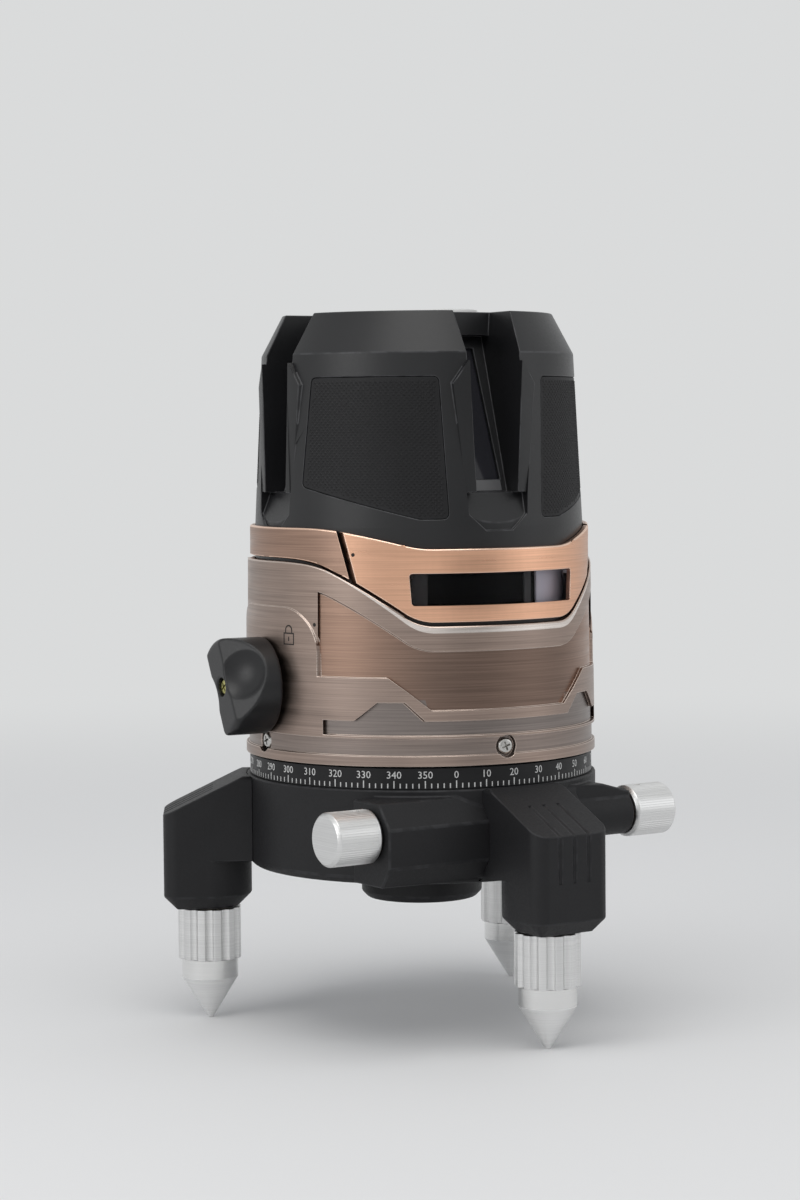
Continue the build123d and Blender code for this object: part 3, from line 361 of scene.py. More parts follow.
plastics = {  # dark, light, worn edge with a painted highlight; roughness low and high, pits per metre, bump, gloss
    "blackCast": ((0.0095, 0.0094, 0.0105), (0.012, 0.0119, 0.0132), (0.024, 0.024, 0.026),
                  0.46, 0.6, 1500.0, 0.3),
    "blackMoulded": ((0.007, 0.0071, 0.008), (0.0092, 0.0093, 0.0104), (0.034, 0.034, 0.037),
                     0.32, 0.44, 1900.0, 0.2, 0.46),
    "gripRubber": ((0.0085, 0.0084, 0.0092), (0.011, 0.0108, 0.0118), (0.024, 0.024, 0.026),
                   0.46, 0.6, 1700.0, 0.25),
    "scaleBlack": ((0.0065, 0.0065, 0.0072), (0.009, 0.009, 0.0098), (0.018, 0.018, 0.02),
                   0.38, 0.5, 2200.0, 0.12),
    "panelBlack": ((0.0085, 0.0085, 0.0092), (0.0115, 0.0115, 0.0125), (0.026, 0.026, 0.028),
                   0.35, 0.48, 2200.0, 0.12),
    "buttonGrey": ((0.15, 0.152, 0.156), (0.18, 0.182, 0.186), (0.26, 0.26, 0.265),
                   0.48, 0.6, 2000.0, 0.18),
    "markWhite": ((0.56, 0.56, 0.55), (0.66, 0.66, 0.65), (0.7, 0.7, 0.69), 0.45, 0.55, 2500.0, 0.05),
    "engravedDark": ((0.018, 0.015, 0.0135), (0.03, 0.025, 0.022), (0.05, 0.042, 0.038),
                     0.5, 0.62, 2500.0, 0.1),
    "linerBlack": ((0.003, 0.003, 0.0034), (0.0045, 0.0045, 0.005), (0.006, 0.006, 0.007),
                   0.5, 0.62, 1500.0, 0.15, 0.04),
    "linerGrey": ((0.036, 0.035, 0.034), (0.044, 0.043, 0.042), (0.06, 0.06, 0.06),
                  0.4, 0.52, 1500.0, 0.15),
    "vialWhite": ((0.6, 0.6, 0.59), (0.68, 0.68, 0.67), (0.72, 0.72, 0.71), 0.35, 0.45, 2000.0, 0.05),
    # grey of the strips at the foot of the panes, partly a seat and partly a painted reflection
    "gasketGrey": ((0.09, 0.09, 0.093), (0.115, 0.115, 0.118), (0.16, 0.16, 0.165),
                   0.34, 0.44, 2000.0, 0.08, 0.5),
    "linerPale": ((0.58, 0.56, 0.62), (0.66, 0.64, 0.7), (0.7, 0.69, 0.74), 0.4, 0.5, 1500.0, 0.05),
    "boardGreen": ((0.018, 0.11, 0.052), (0.024, 0.14, 0.068), (0.06, 0.2, 0.11), 0.3, 0.42, 900.0, 0.08),
    "packWrap": ((0.042, 0.076, 0.17), (0.056, 0.098, 0.21), (0.12, 0.16, 0.28), 0.25, 0.36, 700.0, 0.06),
}
finish = {name: plasticMaterial(name, *values) for name, values in plastics.items()}
metals = {  # dark, light, roughness, lines per metre
    "brightAluminium": ((0.66, 0.66, 0.655), (0.79, 0.79, 0.785), 0.34, 5200.0),
    "polishedAluminium": ((0.74, 0.74, 0.73), (0.84, 0.84, 0.83), 0.14, 5200.0),
    "innerAluminium": ((0.5, 0.5, 0.51), (0.6, 0.6, 0.61), 0.38, 3000.0),
    "screwSteel": ((0.46, 0.45, 0.43), (0.6, 0.59, 0.57), 0.24, 4000.0),
    "zincYellow": ((0.46, 0.44, 0.14), (0.66, 0.62, 0.26), 0.32, 4000.0),
    "softBrass": ((0.58, 0.43, 0.19), (0.72, 0.55, 0.26), 0.3, 3000.0),
    "magnetNickel": ((0.6, 0.58, 0.54), (0.7, 0.68, 0.64), 0.22, 3000.0),
    # a lighter copy of the aluminium for the feet's cones, painted brighter to stand in for light
    "coneAluminium": ((0.78, 0.78, 0.775), (0.9, 0.9, 0.895), 0.4, 5200.0),
    # lighter edge metals for the bevel faces of the shell and trim: a painted highlight along their edges
    "bronzeEdge": ((0.5, 0.41, 0.36), (0.62, 0.52, 0.46), 0.28, 3000.0),
    "copperEdge": ((0.8, 0.55, 0.42), (0.92, 0.66, 0.52), 0.26, 3000.0),
    # bright metal for the strip under the groove: a painted highlight
    "polishedRim": ((0.7, 0.63, 0.585), (0.86, 0.79, 0.745), 0.24, 2600.0),
}
finish.update({name: metalMaterial(name, *values) for name, values in metals.items()})

# antique finish: copper on the raised parts, browner and greyer in the low field, whose front middle carries
# a painted reflection
antique = {"footR": 51.7 * mm, "topR": 51.1 * mm, "low": 45.2 * mm, "high": 113.6 * mm, "cloudScale": 28.0,
           "middleX": (18.0 * mm, 43.0 * mm), "stepX": (22.2 * mm, 23.2 * mm), "stepRise": 4.2 * mm,
           "channelZ": (59.8 * mm, 60.4 * mm), "bump": 0.22, "lightShare": 0.85}
antiqueGroup, antiqueIn, antiqueOut, antiquePlace = shaderGroup(
    "antiqueFinish", [("Proud From", 0.15 * mm), ("Proud To", 0.55 * mm)],
    ["Raised", "Cloud", "Middle", "Channel"])
antiqueAxes = axesOf(antiqueGroup, antiquePlace)
squareX = mathNode(antiqueGroup, "MULTIPLY", antiqueAxes["X"], antiqueAxes["X"])
squareY = mathNode(antiqueGroup, "MULTIPLY", antiqueAxes["Y"], antiqueAxes["Y"])
ownR = mathNode(antiqueGroup, "SQRT", mathNode(antiqueGroup, "ADD", squareX, squareY))
plainR = rangeNode(antiqueGroup, antiqueAxes["Z"], antique["low"], antique["high"],
                   antique["footR"], antique["topR"])
proud = mathNode(antiqueGroup, "SUBTRACT", ownR, plainR)
raised = rangeNode(antiqueGroup, proud, antiqueIn["Proud From"], antiqueIn["Proud To"], smooth=True)
antiqueCloud = noiseNode(antiqueGroup, antiquePlace, antique["cloudScale"], 3.0)
sideX = mathNode(antiqueGroup, "ABSOLUTE", antiqueAxes["X"])
channelStep = rangeNode(antiqueGroup, sideX, *antique["stepX"], 0.0, antique["stepRise"])
channelZ = mathNode(antiqueGroup, "SUBTRACT", antiqueAxes["Z"], channelStep)
chain(antiqueGroup, (raised, antiqueOut["Raised"]),
      (rangeNode(antiqueGroup, antiqueCloud, *noiseSpan), antiqueOut["Cloud"]),
      (rangeNode(antiqueGroup, sideX, *antique["middleX"], 1.0, 0.0, True), antiqueOut["Middle"]),
      (rangeNode(antiqueGroup, channelZ, *antique["channelZ"], 1.0, 0.0), antiqueOut["Channel"]))


def antiqueMaterial(name, look):
    material, tree, shader = startMaterial(name, Metallic=1.0)
    coat = groupNode(tree, antiqueGroup)
    brush = groupNode(tree, brushGroup)
    # the front middle of the low field gets a painted reflection: darker on the shell, lighter on the trim
    field = mixColor(tree, coat["Middle"], look["fieldEnd"], look["fieldMiddle"])
    low = mixColor(tree, coat["Channel"], field, look["channel"])
    crest = mixColor(tree, coat["Cloud"], look["crestDark"], look["crestLight"])
    plain = mixColor(tree, coat["Raised"], low, crest)
    darkLine = (1.0 - look["lines"],) * 3
    lightLine = (1.0 + look["lines"] * antique["lightShare"],) * 3
    streaked = mixColor(tree, 1.0, plain, mixColor(tree, brush["Streak"], darkLine, lightLine), "MULTIPLY")
    roughness = spreadOf(tree, brush["Band"], look["rough"], antiqueSpread)
    surface(tree, shader, streaked, roughness, brush["Height"], antique["bump"], brushDepth)
    return material


# fieldMiddle is a painted reflection: a dark band across the shell's front, a bright one across the trim's
shellLook = {"fieldEnd": (0.36, 0.235, 0.178), "fieldMiddle": (0.205, 0.142, 0.114),
             "channel": (0.235, 0.203, 0.188), "crestDark": (0.300, 0.236, 0.205),
             "crestLight": (0.378, 0.288, 0.243), "rough": 0.34, "lines": 0.20}
trimLook = {"fieldEnd": (0.50, 0.300, 0.206), "fieldMiddle": (0.95, 0.545, 0.360),
            "channel": (0.50, 0.300, 0.206), "crestDark": (0.66, 0.380, 0.252),
            "crestLight": (0.78, 0.450, 0.300), "rough": 0.31, "lines": 0.13}
finish["bronzeShell"] = antiqueMaterial("bronzeShell", shellLook)
finish["copperTrim"] = antiqueMaterial("copperTrim", trimLook)


def glassMaterial(name, color, rough, transmission, bend=1.49):
    material, tree, shader = startMaterial(
        name, Base_Color=color, Metallic=0.0, IOR=bend, Transmission_Weight=transmission)
    grain = groupNode(tree, grainGroup, Pit_Scale=300.0, Cloud_Scale=30.0)
    tree.links.new(spreadOf(tree, grain["Shade"], rough, glassSpread), shader.inputs["Roughness"])
    return material


glasses = {  # colour, roughness, transmission, bend of light where it isn't acrylic's
    "paneGlass": ((0.020, 0.020, 0.025), 0.08, 0.0),
    "windowGlass": ((0.90, 0.90, 0.93), 0.02, 1.0, 1.12),
    "vialAcrylic": ((0.92, 0.95, 0.88), 0.03, 1.0),
    "vialLiquid": ((0.42, 0.72, 0.08), 0.06, 0.25),
    "bubbleGloss": ((0.72, 0.90, 0.42), 0.04, 0.15),
}
finish.update({name: glassMaterial(name, *values) for name, values in glasses.items()})
print("finishes made:", len(finish))

ownFinish = {"steel": "screwSteel", "zinc_screw": "zincYellow", "brass": "softBrass",
             "clear_glass": "paneGlass"}  # the other slots have a finish of their own name


def finishOf(node):
    return finish[ownFinish.get(slotOf[node], camel(slotOf[node]))]


for node, obj in cadNode.items():
    for slot in obj.material_slots:
        slot.material = finishOf(node)
for slot in cadNode["horizontal_window"].material_slots:
    slot.material = finish["windowGlass"]

# the solids' main faces, in mm: cones by their radius at z 0 and their loss of radius per mm up
shellSlope = 0.6 / 68.4
capSlope = 2.5 / 50.4
edgeSlope = 6.4 / 12.1
shellFoot = 51.7 + 45.2 * shellSlope
capFoot = 49.5 + 113.6 * capSlope
capEdge = 47.0 + 164.0 * edgeSlope
skirtR = 51.7 - 3.0 * shellSlope + 0.3
raisedStep = {"bezel": 0.35, "lip": 0.7, "pad": 1.2}  # how far these stand proud of the shell
padFoot = capFoot - 0.15
scaleR = 51.8
baseTurn = 5.25  # degrees that the first leg and the worm shaft are turned by
padPlaces = {"front_left": (-1, False), "front_right": (1, False),  # side, and whether it is at the back
             "rear_left": (-1, True), "rear_right": (1, True)}

# edges of the solids are broken as on the real mouldings: node, bevel in mm, lowest edge angle
softEdges = {
    "base_casting": (0.60, 28), "base_legs": (0.35, 28), "tripod_hub": (0.40, 28), "scale_ring": (0.20, 40),
    "body_shell": (0.16, 28), "upper_band": (0.16, 28), "window_bezel": (0.20, 28), "head_cap": (0.30, 24),
    **{"grip_pad_" + pad: (0.12, 30) for pad in padPlaces},
    "battery_cover": (0.35, 30), "top_panel": (0.15, 30),
    "foot_1": (0.18, 28), "foot_2": (0.18, 28), "foot_3": (0.18, 28),
    "fine_knob_left": (0.10, 30), "fine_knob_right": (0.10, 30),
}
turnedFaces = {
    "base_casting": [(53.0, 0.0)], "scale_ring": [(scaleR, 0.0)], "tripod_hub": [(18.3, 0.0)],
    "body_shell": [(shellFoot, shellSlope), (shellFoot + raisedStep["lip"], shellSlope),
                   (shellFoot + raisedStep["pad"], shellSlope), (skirtR, 0.0)],
    "upper_band": [(shellFoot, shellSlope)], "window_bezel": [(shellFoot + raisedStep["bezel"], shellSlope)],
    "head_cap": [(capFoot, capSlope), (capEdge, edgeSlope), (48.6, 0.0)],
    **{"grip_pad_" + pad: [(padFoot, capSlope)] for pad in padPlaces},
}
turnedLook = {"near": 0.04 * mm, "corner": 1.0 * mm, "agree": 0.97, "split": 25.0}
# these pieces get a lighter metal on their bevel faces, a painted highlight along the edges
brightEdge = {"body_shell": "bronzeEdge", "window_bezel": "copperEdge", "upper_band": "copperEdge"}
brightRim = {"upper": 0.55, "lower": 0.30, "from": 80.0 * mm, "facesOut": 0.9, "turnsIn": 0.5, "rises": 0.4,
             "padX": 38.0 * mm, "padTop": 96.0 * mm}
foldLook = {"reach": 1.3, "smallest": 1e-10, "largest": 4e-5, "agree": 0.25, "insideOut": -0.3, "attempts": 4}
softLook = {"merge": 2e-6, "shortest": 1e-6, "flat": 1.0, "smooth": 62, "weight": 80}


def mendedCopy(node):
    bm = bmesh.new()
    bm.from_mesh(cadNode[node].data)
    bmesh.ops.remove_doubles(bm, verts=bm.verts, dist=softLook["merge"])
    bmesh.ops.dissolve_degenerate(bm, edges=bm.edges, dist=softLook["shortest"])
    return bm


def coneNormal(spot, slope):
    return (Vector((spot.x, spot.y, 0.0)).normalized() + Vector((0, 0, slope))).normalized()


def coneFaces(mesh, cones):  # slope of the cone that each turned face lies on
    slopes = {}
    for face in mesh.polygons:
        spots = [mesh.vertices[v].co for v in face.vertices]
        for radius, slope in cones:
            off = sorted(abs(Vector((c.x, c.y)).length - (radius * mm - slope * c.z)) for c in spots)
            onCone = off[len(off) // 2] < turnedLook["near"] and off[-1] < turnedLook["corner"]
            if onCone and face.normal.dot(coneNormal(face.center, slope)) > turnedLook["agree"]:
                slopes[face.index] = slope
                break
    return slopes


def splitRims(mesh, slopes):  # a turned face keeps its own shading beside a sharp corner
    sides = {}
    for face in mesh.polygons:
        for loop in face.loop_indices:
            sides.setdefault(mesh.loops[loop].edge_index, []).append(face)
    for edge, faces in sides.items():
        turned = {face.index in slopes for face in faces}
        if len(turned) == 2 and faces[0].normal.angle(faces[1].normal) > math.radians(turnedLook["split"]):
            mesh.edges[edge].use_edge_sharp = True


def setConeNormals(mesh, slopes):  # exact normals on the turned faces
    normals = [Vector(corner.vector) for corner in mesh.corner_normals]
    for index, slope in slopes.items():
        face = mesh.polygons[index]
        for loop, vert in zip(face.loop_indices, face.vertices):
            normals[loop] = coneNormal(mesh.vertices[vert].co, slope)
    mesh.normals_split_custom_set(normals)


def rimWidth(node, edge, width):  # rims that catch the light are rounder than the other edges
    if node not in brightEdge:
        return width
    middle = (edge.verts[0].co + edge.verts[1].co) / 2
    outward = Vector((middle.x, middle.y, 0.0)).normalized()
    inner, outer = sorted(face.normal.dot(outward) for face in edge.link_faces)
    if outer < brightRim["facesOut"] or inner > brightRim["turnsIn"] or middle.z < brightRim["from"]:
        return width
    upper = max(face.normal.z for face in edge.link_faces) > brightRim["rises"]
    if node == "body_shell":
        besidePad = abs(middle.x) > brightRim["padX"] and middle.z < brightRim["padTop"]
        return brightRim["upper"] if upper and not besidePad else width
    return brightRim["upper"] if upper else brightRim["lower"]


def awayFrom(edge, spot):
    start, end = (vert.co for vert in edge.verts)
    along = end - start
    share = min(1.0, max(0.0, (spot - start).dot(along) / along.length_squared))
    return (start + along * share - spot).length


def foldsOf(mesh, solid, reach):  # small faces that a bevel left inside out: index, centre, size, agreement
    folds = []
    for face in mesh.polygons:
        small = foldLook["smallest"] < face.area < foldLook["largest"]
        near = solid.find_nearest_range(face.center, reach) if small else []
        agree = max((normal.dot(face.normal) for spot, normal, index, away in near), default=1.0)
        if agree < foldLook["agree"]:
            folds.append((face.index, face.center.copy(), math.sqrt(face.area), agree))
    return folds


def bevelled(node, bm):
    obj = linked(bpy.data.objects.new(camel(node), bpy.data.meshes.new(camel(node))))
    bm.to_mesh(obj.data)
    obj.data.materials.append(finishOf(node))
    obj.data.materials.append(finish[brightEdge[node]] if node in brightEdge else finishOf(node))
    bevel = obj.modifiers.new("softEdge", "BEVEL")
    bevel.width = 1.0 * mm  # times the edge's own weight
    bevel.segments = 2
    bevel.limit_method = "WEIGHT"
    bevel.use_clamp_overlap = False
    bevel.loop_slide = False
    # the bevel faces take the second material, which on the shell and trim paints a highlight
    bevel.material = 1
    return applied(obj)


def softCopy(node, width, angle):
    bm = mendedCopy(node)
    solid = BVHTree.FromBMesh(bm)
    bmesh.ops.dissolve_limit(bm, angle_limit=math.radians(softLook["flat"]), use_dissolve_boundaries=False,
                             verts=bm.verts, edges=bm.edges)
    weights = bm.edges.layers.float.new("bevel_weight_edge")
    bm.normal_update()
    sharp = math.radians(angle)
    soft = [edge for edge in bm.edges if len(edge.link_faces) == 2 and edge.calc_face_angle() > sharp]
    for edge in soft:
        edge[weights] = rimWidth(node, edge, width)
    for attempt in range(foldLook["attempts"] + 1):  # edges stay sharp where a bevel has no room
        obj = bevelled(node, bm)
        folds = foldsOf(obj.data, solid, foldLook["reach"] * width * mm)
        if not folds or attempt == foldLook["attempts"]:
            break
        room = (attempt + 1) * width * mm
        for edge in soft:
            if any(awayFrom(edge, spot) < room + 0.5 * size for index, spot, size, agree in folds):
                edge[weights] = 0.0
        bpy.data.objects.remove(obj)
    bm.free()
    turned = bmesh.new()
    turned.from_mesh(obj.data)
    turned.faces.ensure_lookup_table()
    for index, spot, size, agree in folds:
        if agree < foldLook["insideOut"]:
            turned.faces[index].normal_flip()
    turned.to_mesh(obj.data)
    turned.free()
    smoothed(obj, softLook["smooth"])
    slopes = coneFaces(obj.data, turnedFaces.get(node, []))
    splitRims(obj.data, slopes)
    weighted = obj.modifiers.new("flatFaces", "WEIGHTED_NORMAL")
    weighted.keep_sharp = True
    weighted.weight = softLook["weight"]
    applied(obj)
    setConeNormals(obj.data, slopes)
    rim = obj.data.attributes.new("rim", "FLOAT", "FACE")
    rim.data.foreach_set("value", [float(face.material_index) for face in obj.data.polygons])
    return standsFor(obj, node)


softPieces = {node: softCopy(node, *values) for node, values in softEdges.items()}
footBand = {"circle": 64.8 * mm, "low": -23.6 * mm, "high": -17.9 * mm, "radius": 8.3 * mm}
for number in (1, 2, 3):
    foot = softPieces["foot_" + str(number)].data
    foot.materials.append(finish["polishedAluminium"])
    foot.materials.append(finish["coneAluminium"])
    centre = polar(footBand["circle"], baseTurn + 120.0 * (number - 1), 0)
    for face in foot.polygons:
        away = Vector((face.center.x - centre.x, face.center.y - centre.y)).length
        if footBand["low"] < face.center.z < footBand["high"] and away > footBand["radius"]:
            face.material_index = 2
        # the cones take the lighter aluminium copy, a painted brightening
        elif face.center.z < footBand["low"]:
            face.material_index = 3
print("soft edges on", len(softPieces), "pieces")


lockKnobLook = {"voxel": 0.32 * mm, "factor": 0.5, "rounds": 9, "smooth": 60}
lockKnob = fromBmesh("lockKnob", mendedCopy("lock_knob"), finishOf("lock_knob"))
lockVoxels = lockKnob.modifiers.new("rounding", "REMESH")
lockVoxels.mode = "VOXEL"
lockVoxels.voxel_size = lockKnobLook["voxel"]
lockSmooth = lockKnob.modifiers.new("smoothing", "SMOOTH")
lockSmooth.factor = lockKnobLook["factor"]
lockSmooth.iterations = lockKnobLook["rounds"]
standsFor(smoothed(applied(lockKnob), lockKnobLook["smooth"]), "lock_knob")
print("lock knob:", len(lockKnob.data.polygons), "faces")

# one item set on every point, turned about the upright axis by the point's own angle
seatTree = bpy.data.node_groups.new("seatedCopies", "GeometryNodeTree")
seatInputs = {"Geometry": "NodeSocketGeometry", "Item": "NodeSocketObject", "Size": "NodeSocketFloat",
              "Finish": "NodeSocketMaterial"}
seatSocket = {label: seatTree.interface.new_socket(label, in_out="INPUT", socket_type=kind).identifier
              for label, kind in seatInputs.items()}
seatTree.interface.new_socket("Geometry", in_out="OUTPUT", socket_type="NodeSocketGeometry")
seatIn = seatTree.nodes.new("NodeGroupInput").outputs
seatItem = addNode(seatTree, "GeometryNodeObjectInfo")
seatTurn = addNode(seatTree, "GeometryNodeInputNamedAttribute", data_type="FLOAT")
seatTurn.inputs["Name"].default_value = "turn"
seatAxis = addNode(seatTree, "ShaderNodeCombineXYZ")
seatEuler = addNode(seatTree, "FunctionNodeEulerToRotation")
seatPoints = addNode(seatTree, "GeometryNodeMeshToPoints")
seatCopies = addNode(seatTree, "GeometryNodeInstanceOnPoints")
seatReal = addNode(seatTree, "GeometryNodeRealizeInstances")
seatFinish = addNode(seatTree, "GeometryNodeSetMaterial")
seatResult = seatTree.nodes.new("NodeGroupOutput")
chain(seatTree, (seatIn["Item"], seatItem.inputs["Object"]), (seatTurn.outputs[0], seatAxis.inputs["Z"]),
      (seatAxis.outputs[0], seatEuler.inputs[0]), (seatIn["Geometry"], seatPoints.inputs["Mesh"]),
      (seatPoints.outputs[0], seatCopies.inputs["Points"]),
      (seatItem.outputs["Geometry"], seatCopies.inputs["Instance"]),
      (seatEuler.outputs[0], seatCopies.inputs["Rotation"]), (seatIn["Size"], seatCopies.inputs["Scale"]),
      (seatCopies.outputs[0], seatReal.inputs["Geometry"]),
      (seatReal.outputs[0], seatFinish.inputs["Geometry"]),
      (seatIn["Finish"], seatFinish.inputs["Material"]), (seatFinish.outputs[0], seatResult.inputs[0]))


def repeated(name, item, seats):  # seats: place and turn in degrees
    mesh = bpy.data.meshes.new(name)
    mesh.from_pydata([tuple(spot) for spot, turn in seats], [], [])
    turns = mesh.attributes.new("turn", "FLOAT", "POINT")
    turns.data.foreach_set("value", [math.radians(turn) for spot, turn in seats])
    obj = linked(bpy.data.objects.new(name, mesh))
    modifier = obj.modifiers.new("copies", "NODES")
    modifier.node_group = seatTree
    modifier[seatSocket["Item"]] = item
    modifier[seatSocket["Size"]] = 1.0
    modifier[seatSocket["Finish"]] = item.data.materials[0]
    applied(obj)
    bpy.data.objects.remove(item)
    return obj


def roundSeats(count, first=0.0):  # copies evenly about the upright axis
    return [((0, 0, 0), first + 360.0 * i / count) for i in range(count)]


def addBox(bm, low, high):
    made = bmesh.ops.create_cube(bm, size=1.0)["verts"]
    middle = (Vector(low) + Vector(high)) / 2
    size = Vector(high) - Vector(low)
    for vert in made:
        vert.co = Vector(a * b for a, b in zip(vert.co, size)) + middle
    return made


def boxPiece(name, low, high, material):
    bm = bmesh.new()
    addBox(bm, low, high)
    return fromBmesh(name, bm, material)


def skinned(bm, rows):  # a bar through rows of corners, closed at both ends
    rows = [[bm.verts.new(corner) for corner in row] for row in rows]
    sides = len(rows[0])
    for a, b in zip(rows, rows[1:]):
        for i in range(sides):
            bm.faces.new((a[i], a[(i + 1) % sides], b[(i + 1) % sides], b[i]))
    bm.faces.new(rows[0])
    bm.faces.new(list(reversed(rows[-1])))
    bmesh.ops.recalc_face_normals(bm, faces=bm.faces)
    return [vert for row in rows for vert in row]


def barPiece(name, rows, material):
    bm = bmesh.new()
    skinned(bm, rows)
    return fromBmesh(name, bm, material)


def lathe(bm, profile, steps):  # profile of radius and height, turned about the upright axis
    rings = []
    for radius, z in profile:
        if radius == 0.0:
            rings.append([bm.verts.new((0, 0, z))])
            continue
        turns = [2 * math.pi * i / steps for i in range(steps)]
        rings.append([bm.verts.new((radius * math.cos(a), radius * math.sin(a), z)) for a in turns])
    for low, high in zip(rings, rings[1:]):
        for i in range(steps):
            j = i + 1
            corners = [low[i % len(low)], low[j % len(low)], high[j % len(high)], high[i % len(high)]]
            bm.faces.new(list(dict.fromkeys(corners)))
    bmesh.ops.recalc_face_normals(bm, faces=bm.faces)


scaleLook = {"zeroAt": -17.0, "decades": 36, "ticks": 5, "numeralLow": 41.75 * mm, "numeralSize": 3.0 * mm,
             "tickLow": 38.95 * mm, "tickShort": 1.35 * mm, "tickLong": 2.1 * mm, "tickHalf": 0.16 * mm,
             "proud": 0.05 * mm, "sunk": 0.3 * mm}
decade = 360.0 / scaleLook["decades"]
tickBm = bmesh.new()
for step in range(scaleLook["ticks"]):
    top = scaleLook["tickLow"] + (scaleLook["tickLong"] if step == 0 else scaleLook["tickShort"])
    tick = addBox(tickBm, (-scaleLook["tickHalf"], -scaleR * mm - scaleLook["proud"], scaleLook["tickLow"]),
                  (scaleLook["tickHalf"], -scaleR * mm + scaleLook["sunk"], top))
    tickTurn = rotated(decade / scaleLook["ticks"] * step, "Z").to_3x3()
    bmesh.ops.rotate(tickBm, verts=tick, cent=(0, 0, 0), matrix=tickTurn)
tickItem = fromBmesh("tickItem", tickBm, finish["markWhite"])
scaleTicks = repeated("scaleTicks", tickItem, roundSeats(scaleLook["decades"], scaleLook["zeroAt"]))


def numeral(text, angle):  # wrapped round the scale
    curve = bpy.data.curves.new("numeral", "FONT")
    curve.body = text
    curve.size = scaleLook["numeralSize"]
    curve.align_x = "CENTER"
    curve.extrude = scaleLook["proud"]
    curve.resolution_u = 2
    obj = linked(bpy.data.objects.new("numeral", curve))
    mesh = evaluatedMesh(obj)
    for vert in mesh.vertices:
        x, y, z = vert.co
        vert.co = polar(scaleR * mm + z, angle + math.degrees(x / (scaleR * mm)), scaleLook["numeralLow"] + y)
    bpy.data.objects.remove(obj)
    return mesh


marksBm = bmesh.new()
marksBm.from_mesh(scaleTicks.data)
bpy.data.objects.remove(scaleTicks)
for i in range(scaleLook["decades"]):
    marksBm.from_mesh(numeral(str(round(decade * i)), scaleLook["zeroAt"] + decade * i))
scaleMarks = rides(fromBmesh("scaleMarks", marksBm, finish["markWhite"]), "base")
print("scale marks:", len(scaleMarks.data.polygons), "faces")


panHead = {"flat": 0.62, "round": 0.38, "side": 0.35, "dome": 0.65, "recess": 0.25, "steps": 40, "smooth": 50}


def crossScrew(name, look, material):  # pan head that looks along +Z
    headR, height = look["headR"], look["height"]
    profile = [(0.0, 0.0), (headR, 0.0)]
    for a in (math.radians(degrees) for degrees in range(0, 91, 15)):
        profile.append((headR * (panHead["flat"] + panHead["round"] * math.cos(a)),
                        height * (panHead["side"] + panHead["dome"] * math.sin(a))))
    bm = bmesh.new()
    lathe(bm, profile + [(0.0, height)], panHead["steps"])
    head = smoothed(fromBmesh(name, bm, material), panHead["smooth"])
    low, high = height * panHead["recess"], height * 2
    arms = []
    for x, y in ((look["crossHalf"], look["crossWidth"]), (look["crossWidth"], look["crossHalf"])):
        arms.append(boxPiece("crossArm", (-x, -y, low), (x, y, high), material))
        cut = head.modifiers.new("recess", "BOOLEAN")
        cut.object = arms[-1]
        cut.operation = "DIFFERENCE"
        cut.solver = "EXACT"
    applied(head)
    for arm in arms:
        bpy.data.objects.remove(arm)
    return head


screwLook = {"z": 50.3 * mm, "seatR": (51.7 - 5.1 * shellSlope - 1.3) * mm, "twist": 20.0, "count": 4,
             "headR": 2.5 * mm, "height": 1.6 * mm, "crossHalf": 1.35 * mm, "crossWidth": 0.28 * mm}
screwItem = crossScrew("screwItem", screwLook, finish["screwSteel"])
toFront = Matrix.Translation((0, -screwLook["seatR"], screwLook["z"])) @ rotated(90.0, "X")
screwItem.data.transform(toFront @ rotated(screwLook["twist"], "Z"))
standsFor(smoothed(repeated("shellScrews", screwItem, roundSeats(screwLook["count"]))), "shell_screws")

knobScrewLook = {"seatX": -63.71 * mm, "z": 66.8 * mm, "twist": 35.0,
                 "headR": 2.6 * mm, "height": 1.8 * mm, "crossHalf": 1.5 * mm, "crossWidth": 0.3 * mm}
knobScrew = crossScrew("knobScrew", knobScrewLook, finish["zincYellow"])
toLeft = Matrix.Translation((knobScrewLook["seatX"], 0, knobScrewLook["z"])) @ rotated(-90.0, "Y")
knobScrew.data.transform(toLeft @ rotated(knobScrewLook["twist"], "Z"))
standsFor(knobScrew, "knob_screw")
print("screws made")


gripLook = {"half": 0.66 * mm, "topHalf": 0.24 * mm, "height": 0.16 * mm, "sunk": 0.12 * mm}
gripField = {"pitch": 1.5, "margin": 1.1, "from": 115.0, "rows": 60, "columns": 16,  # mm on the flattened pad
             "low": (116.0, 121.0)}  # front, rear


def insideBy(point, outline, margin):
    x, z = point
    for (ax, az), (bx, bz) in zip(outline, outline[1:] + outline[:1]):
        length = math.hypot(bx - ax, bz - az)
        if ((bx - ax) * (z - az) - (bz - az) * (x - ax)) / length < margin:
            return False
    return True


def diamondItem():
    rows = []
    for half, y in ((gripLook["half"], gripLook["sunk"]), (gripLook["topHalf"], -gripLook["height"])):
        rows.append([(-half, y, 0), (0, y, -half), (half, y, 0), (0, y, half)])
    return barPiece("diamondItem", rows, finish["gripRubber"])


for pad, (side, rear) in padPlaces.items():
    seats = []
    low = gripField["low"][rear]
    outline = [(-22.3, 125.4), (14.3, low), (22.3, low), (19.2, 157.0), (-19.2, 157.0)]
    flip = -1 if rear != (side > 0) else 1
    for row in range(gripField["rows"]):
        z = gripField["from"] + row * gripField["pitch"] / 2
        for column in range(-gripField["columns"], gripField["columns"] + 1):
            x = (column + 0.5 * (row % 2)) * gripField["pitch"]
            if not insideBy((x, z), outline, gripField["margin"]):
                continue
            radius = padFoot - capSlope * z
            turn = side * (135.0 if rear else 45.0) + math.degrees(math.asin(flip * x / radius))
            seats.append((polar(radius * mm, turn, z * mm), turn))
    diamonds = repeated(camel("grip_diamonds_" + pad), diamondItem(), seats)
    rides(diamonds, "head")
print("grip texture made")


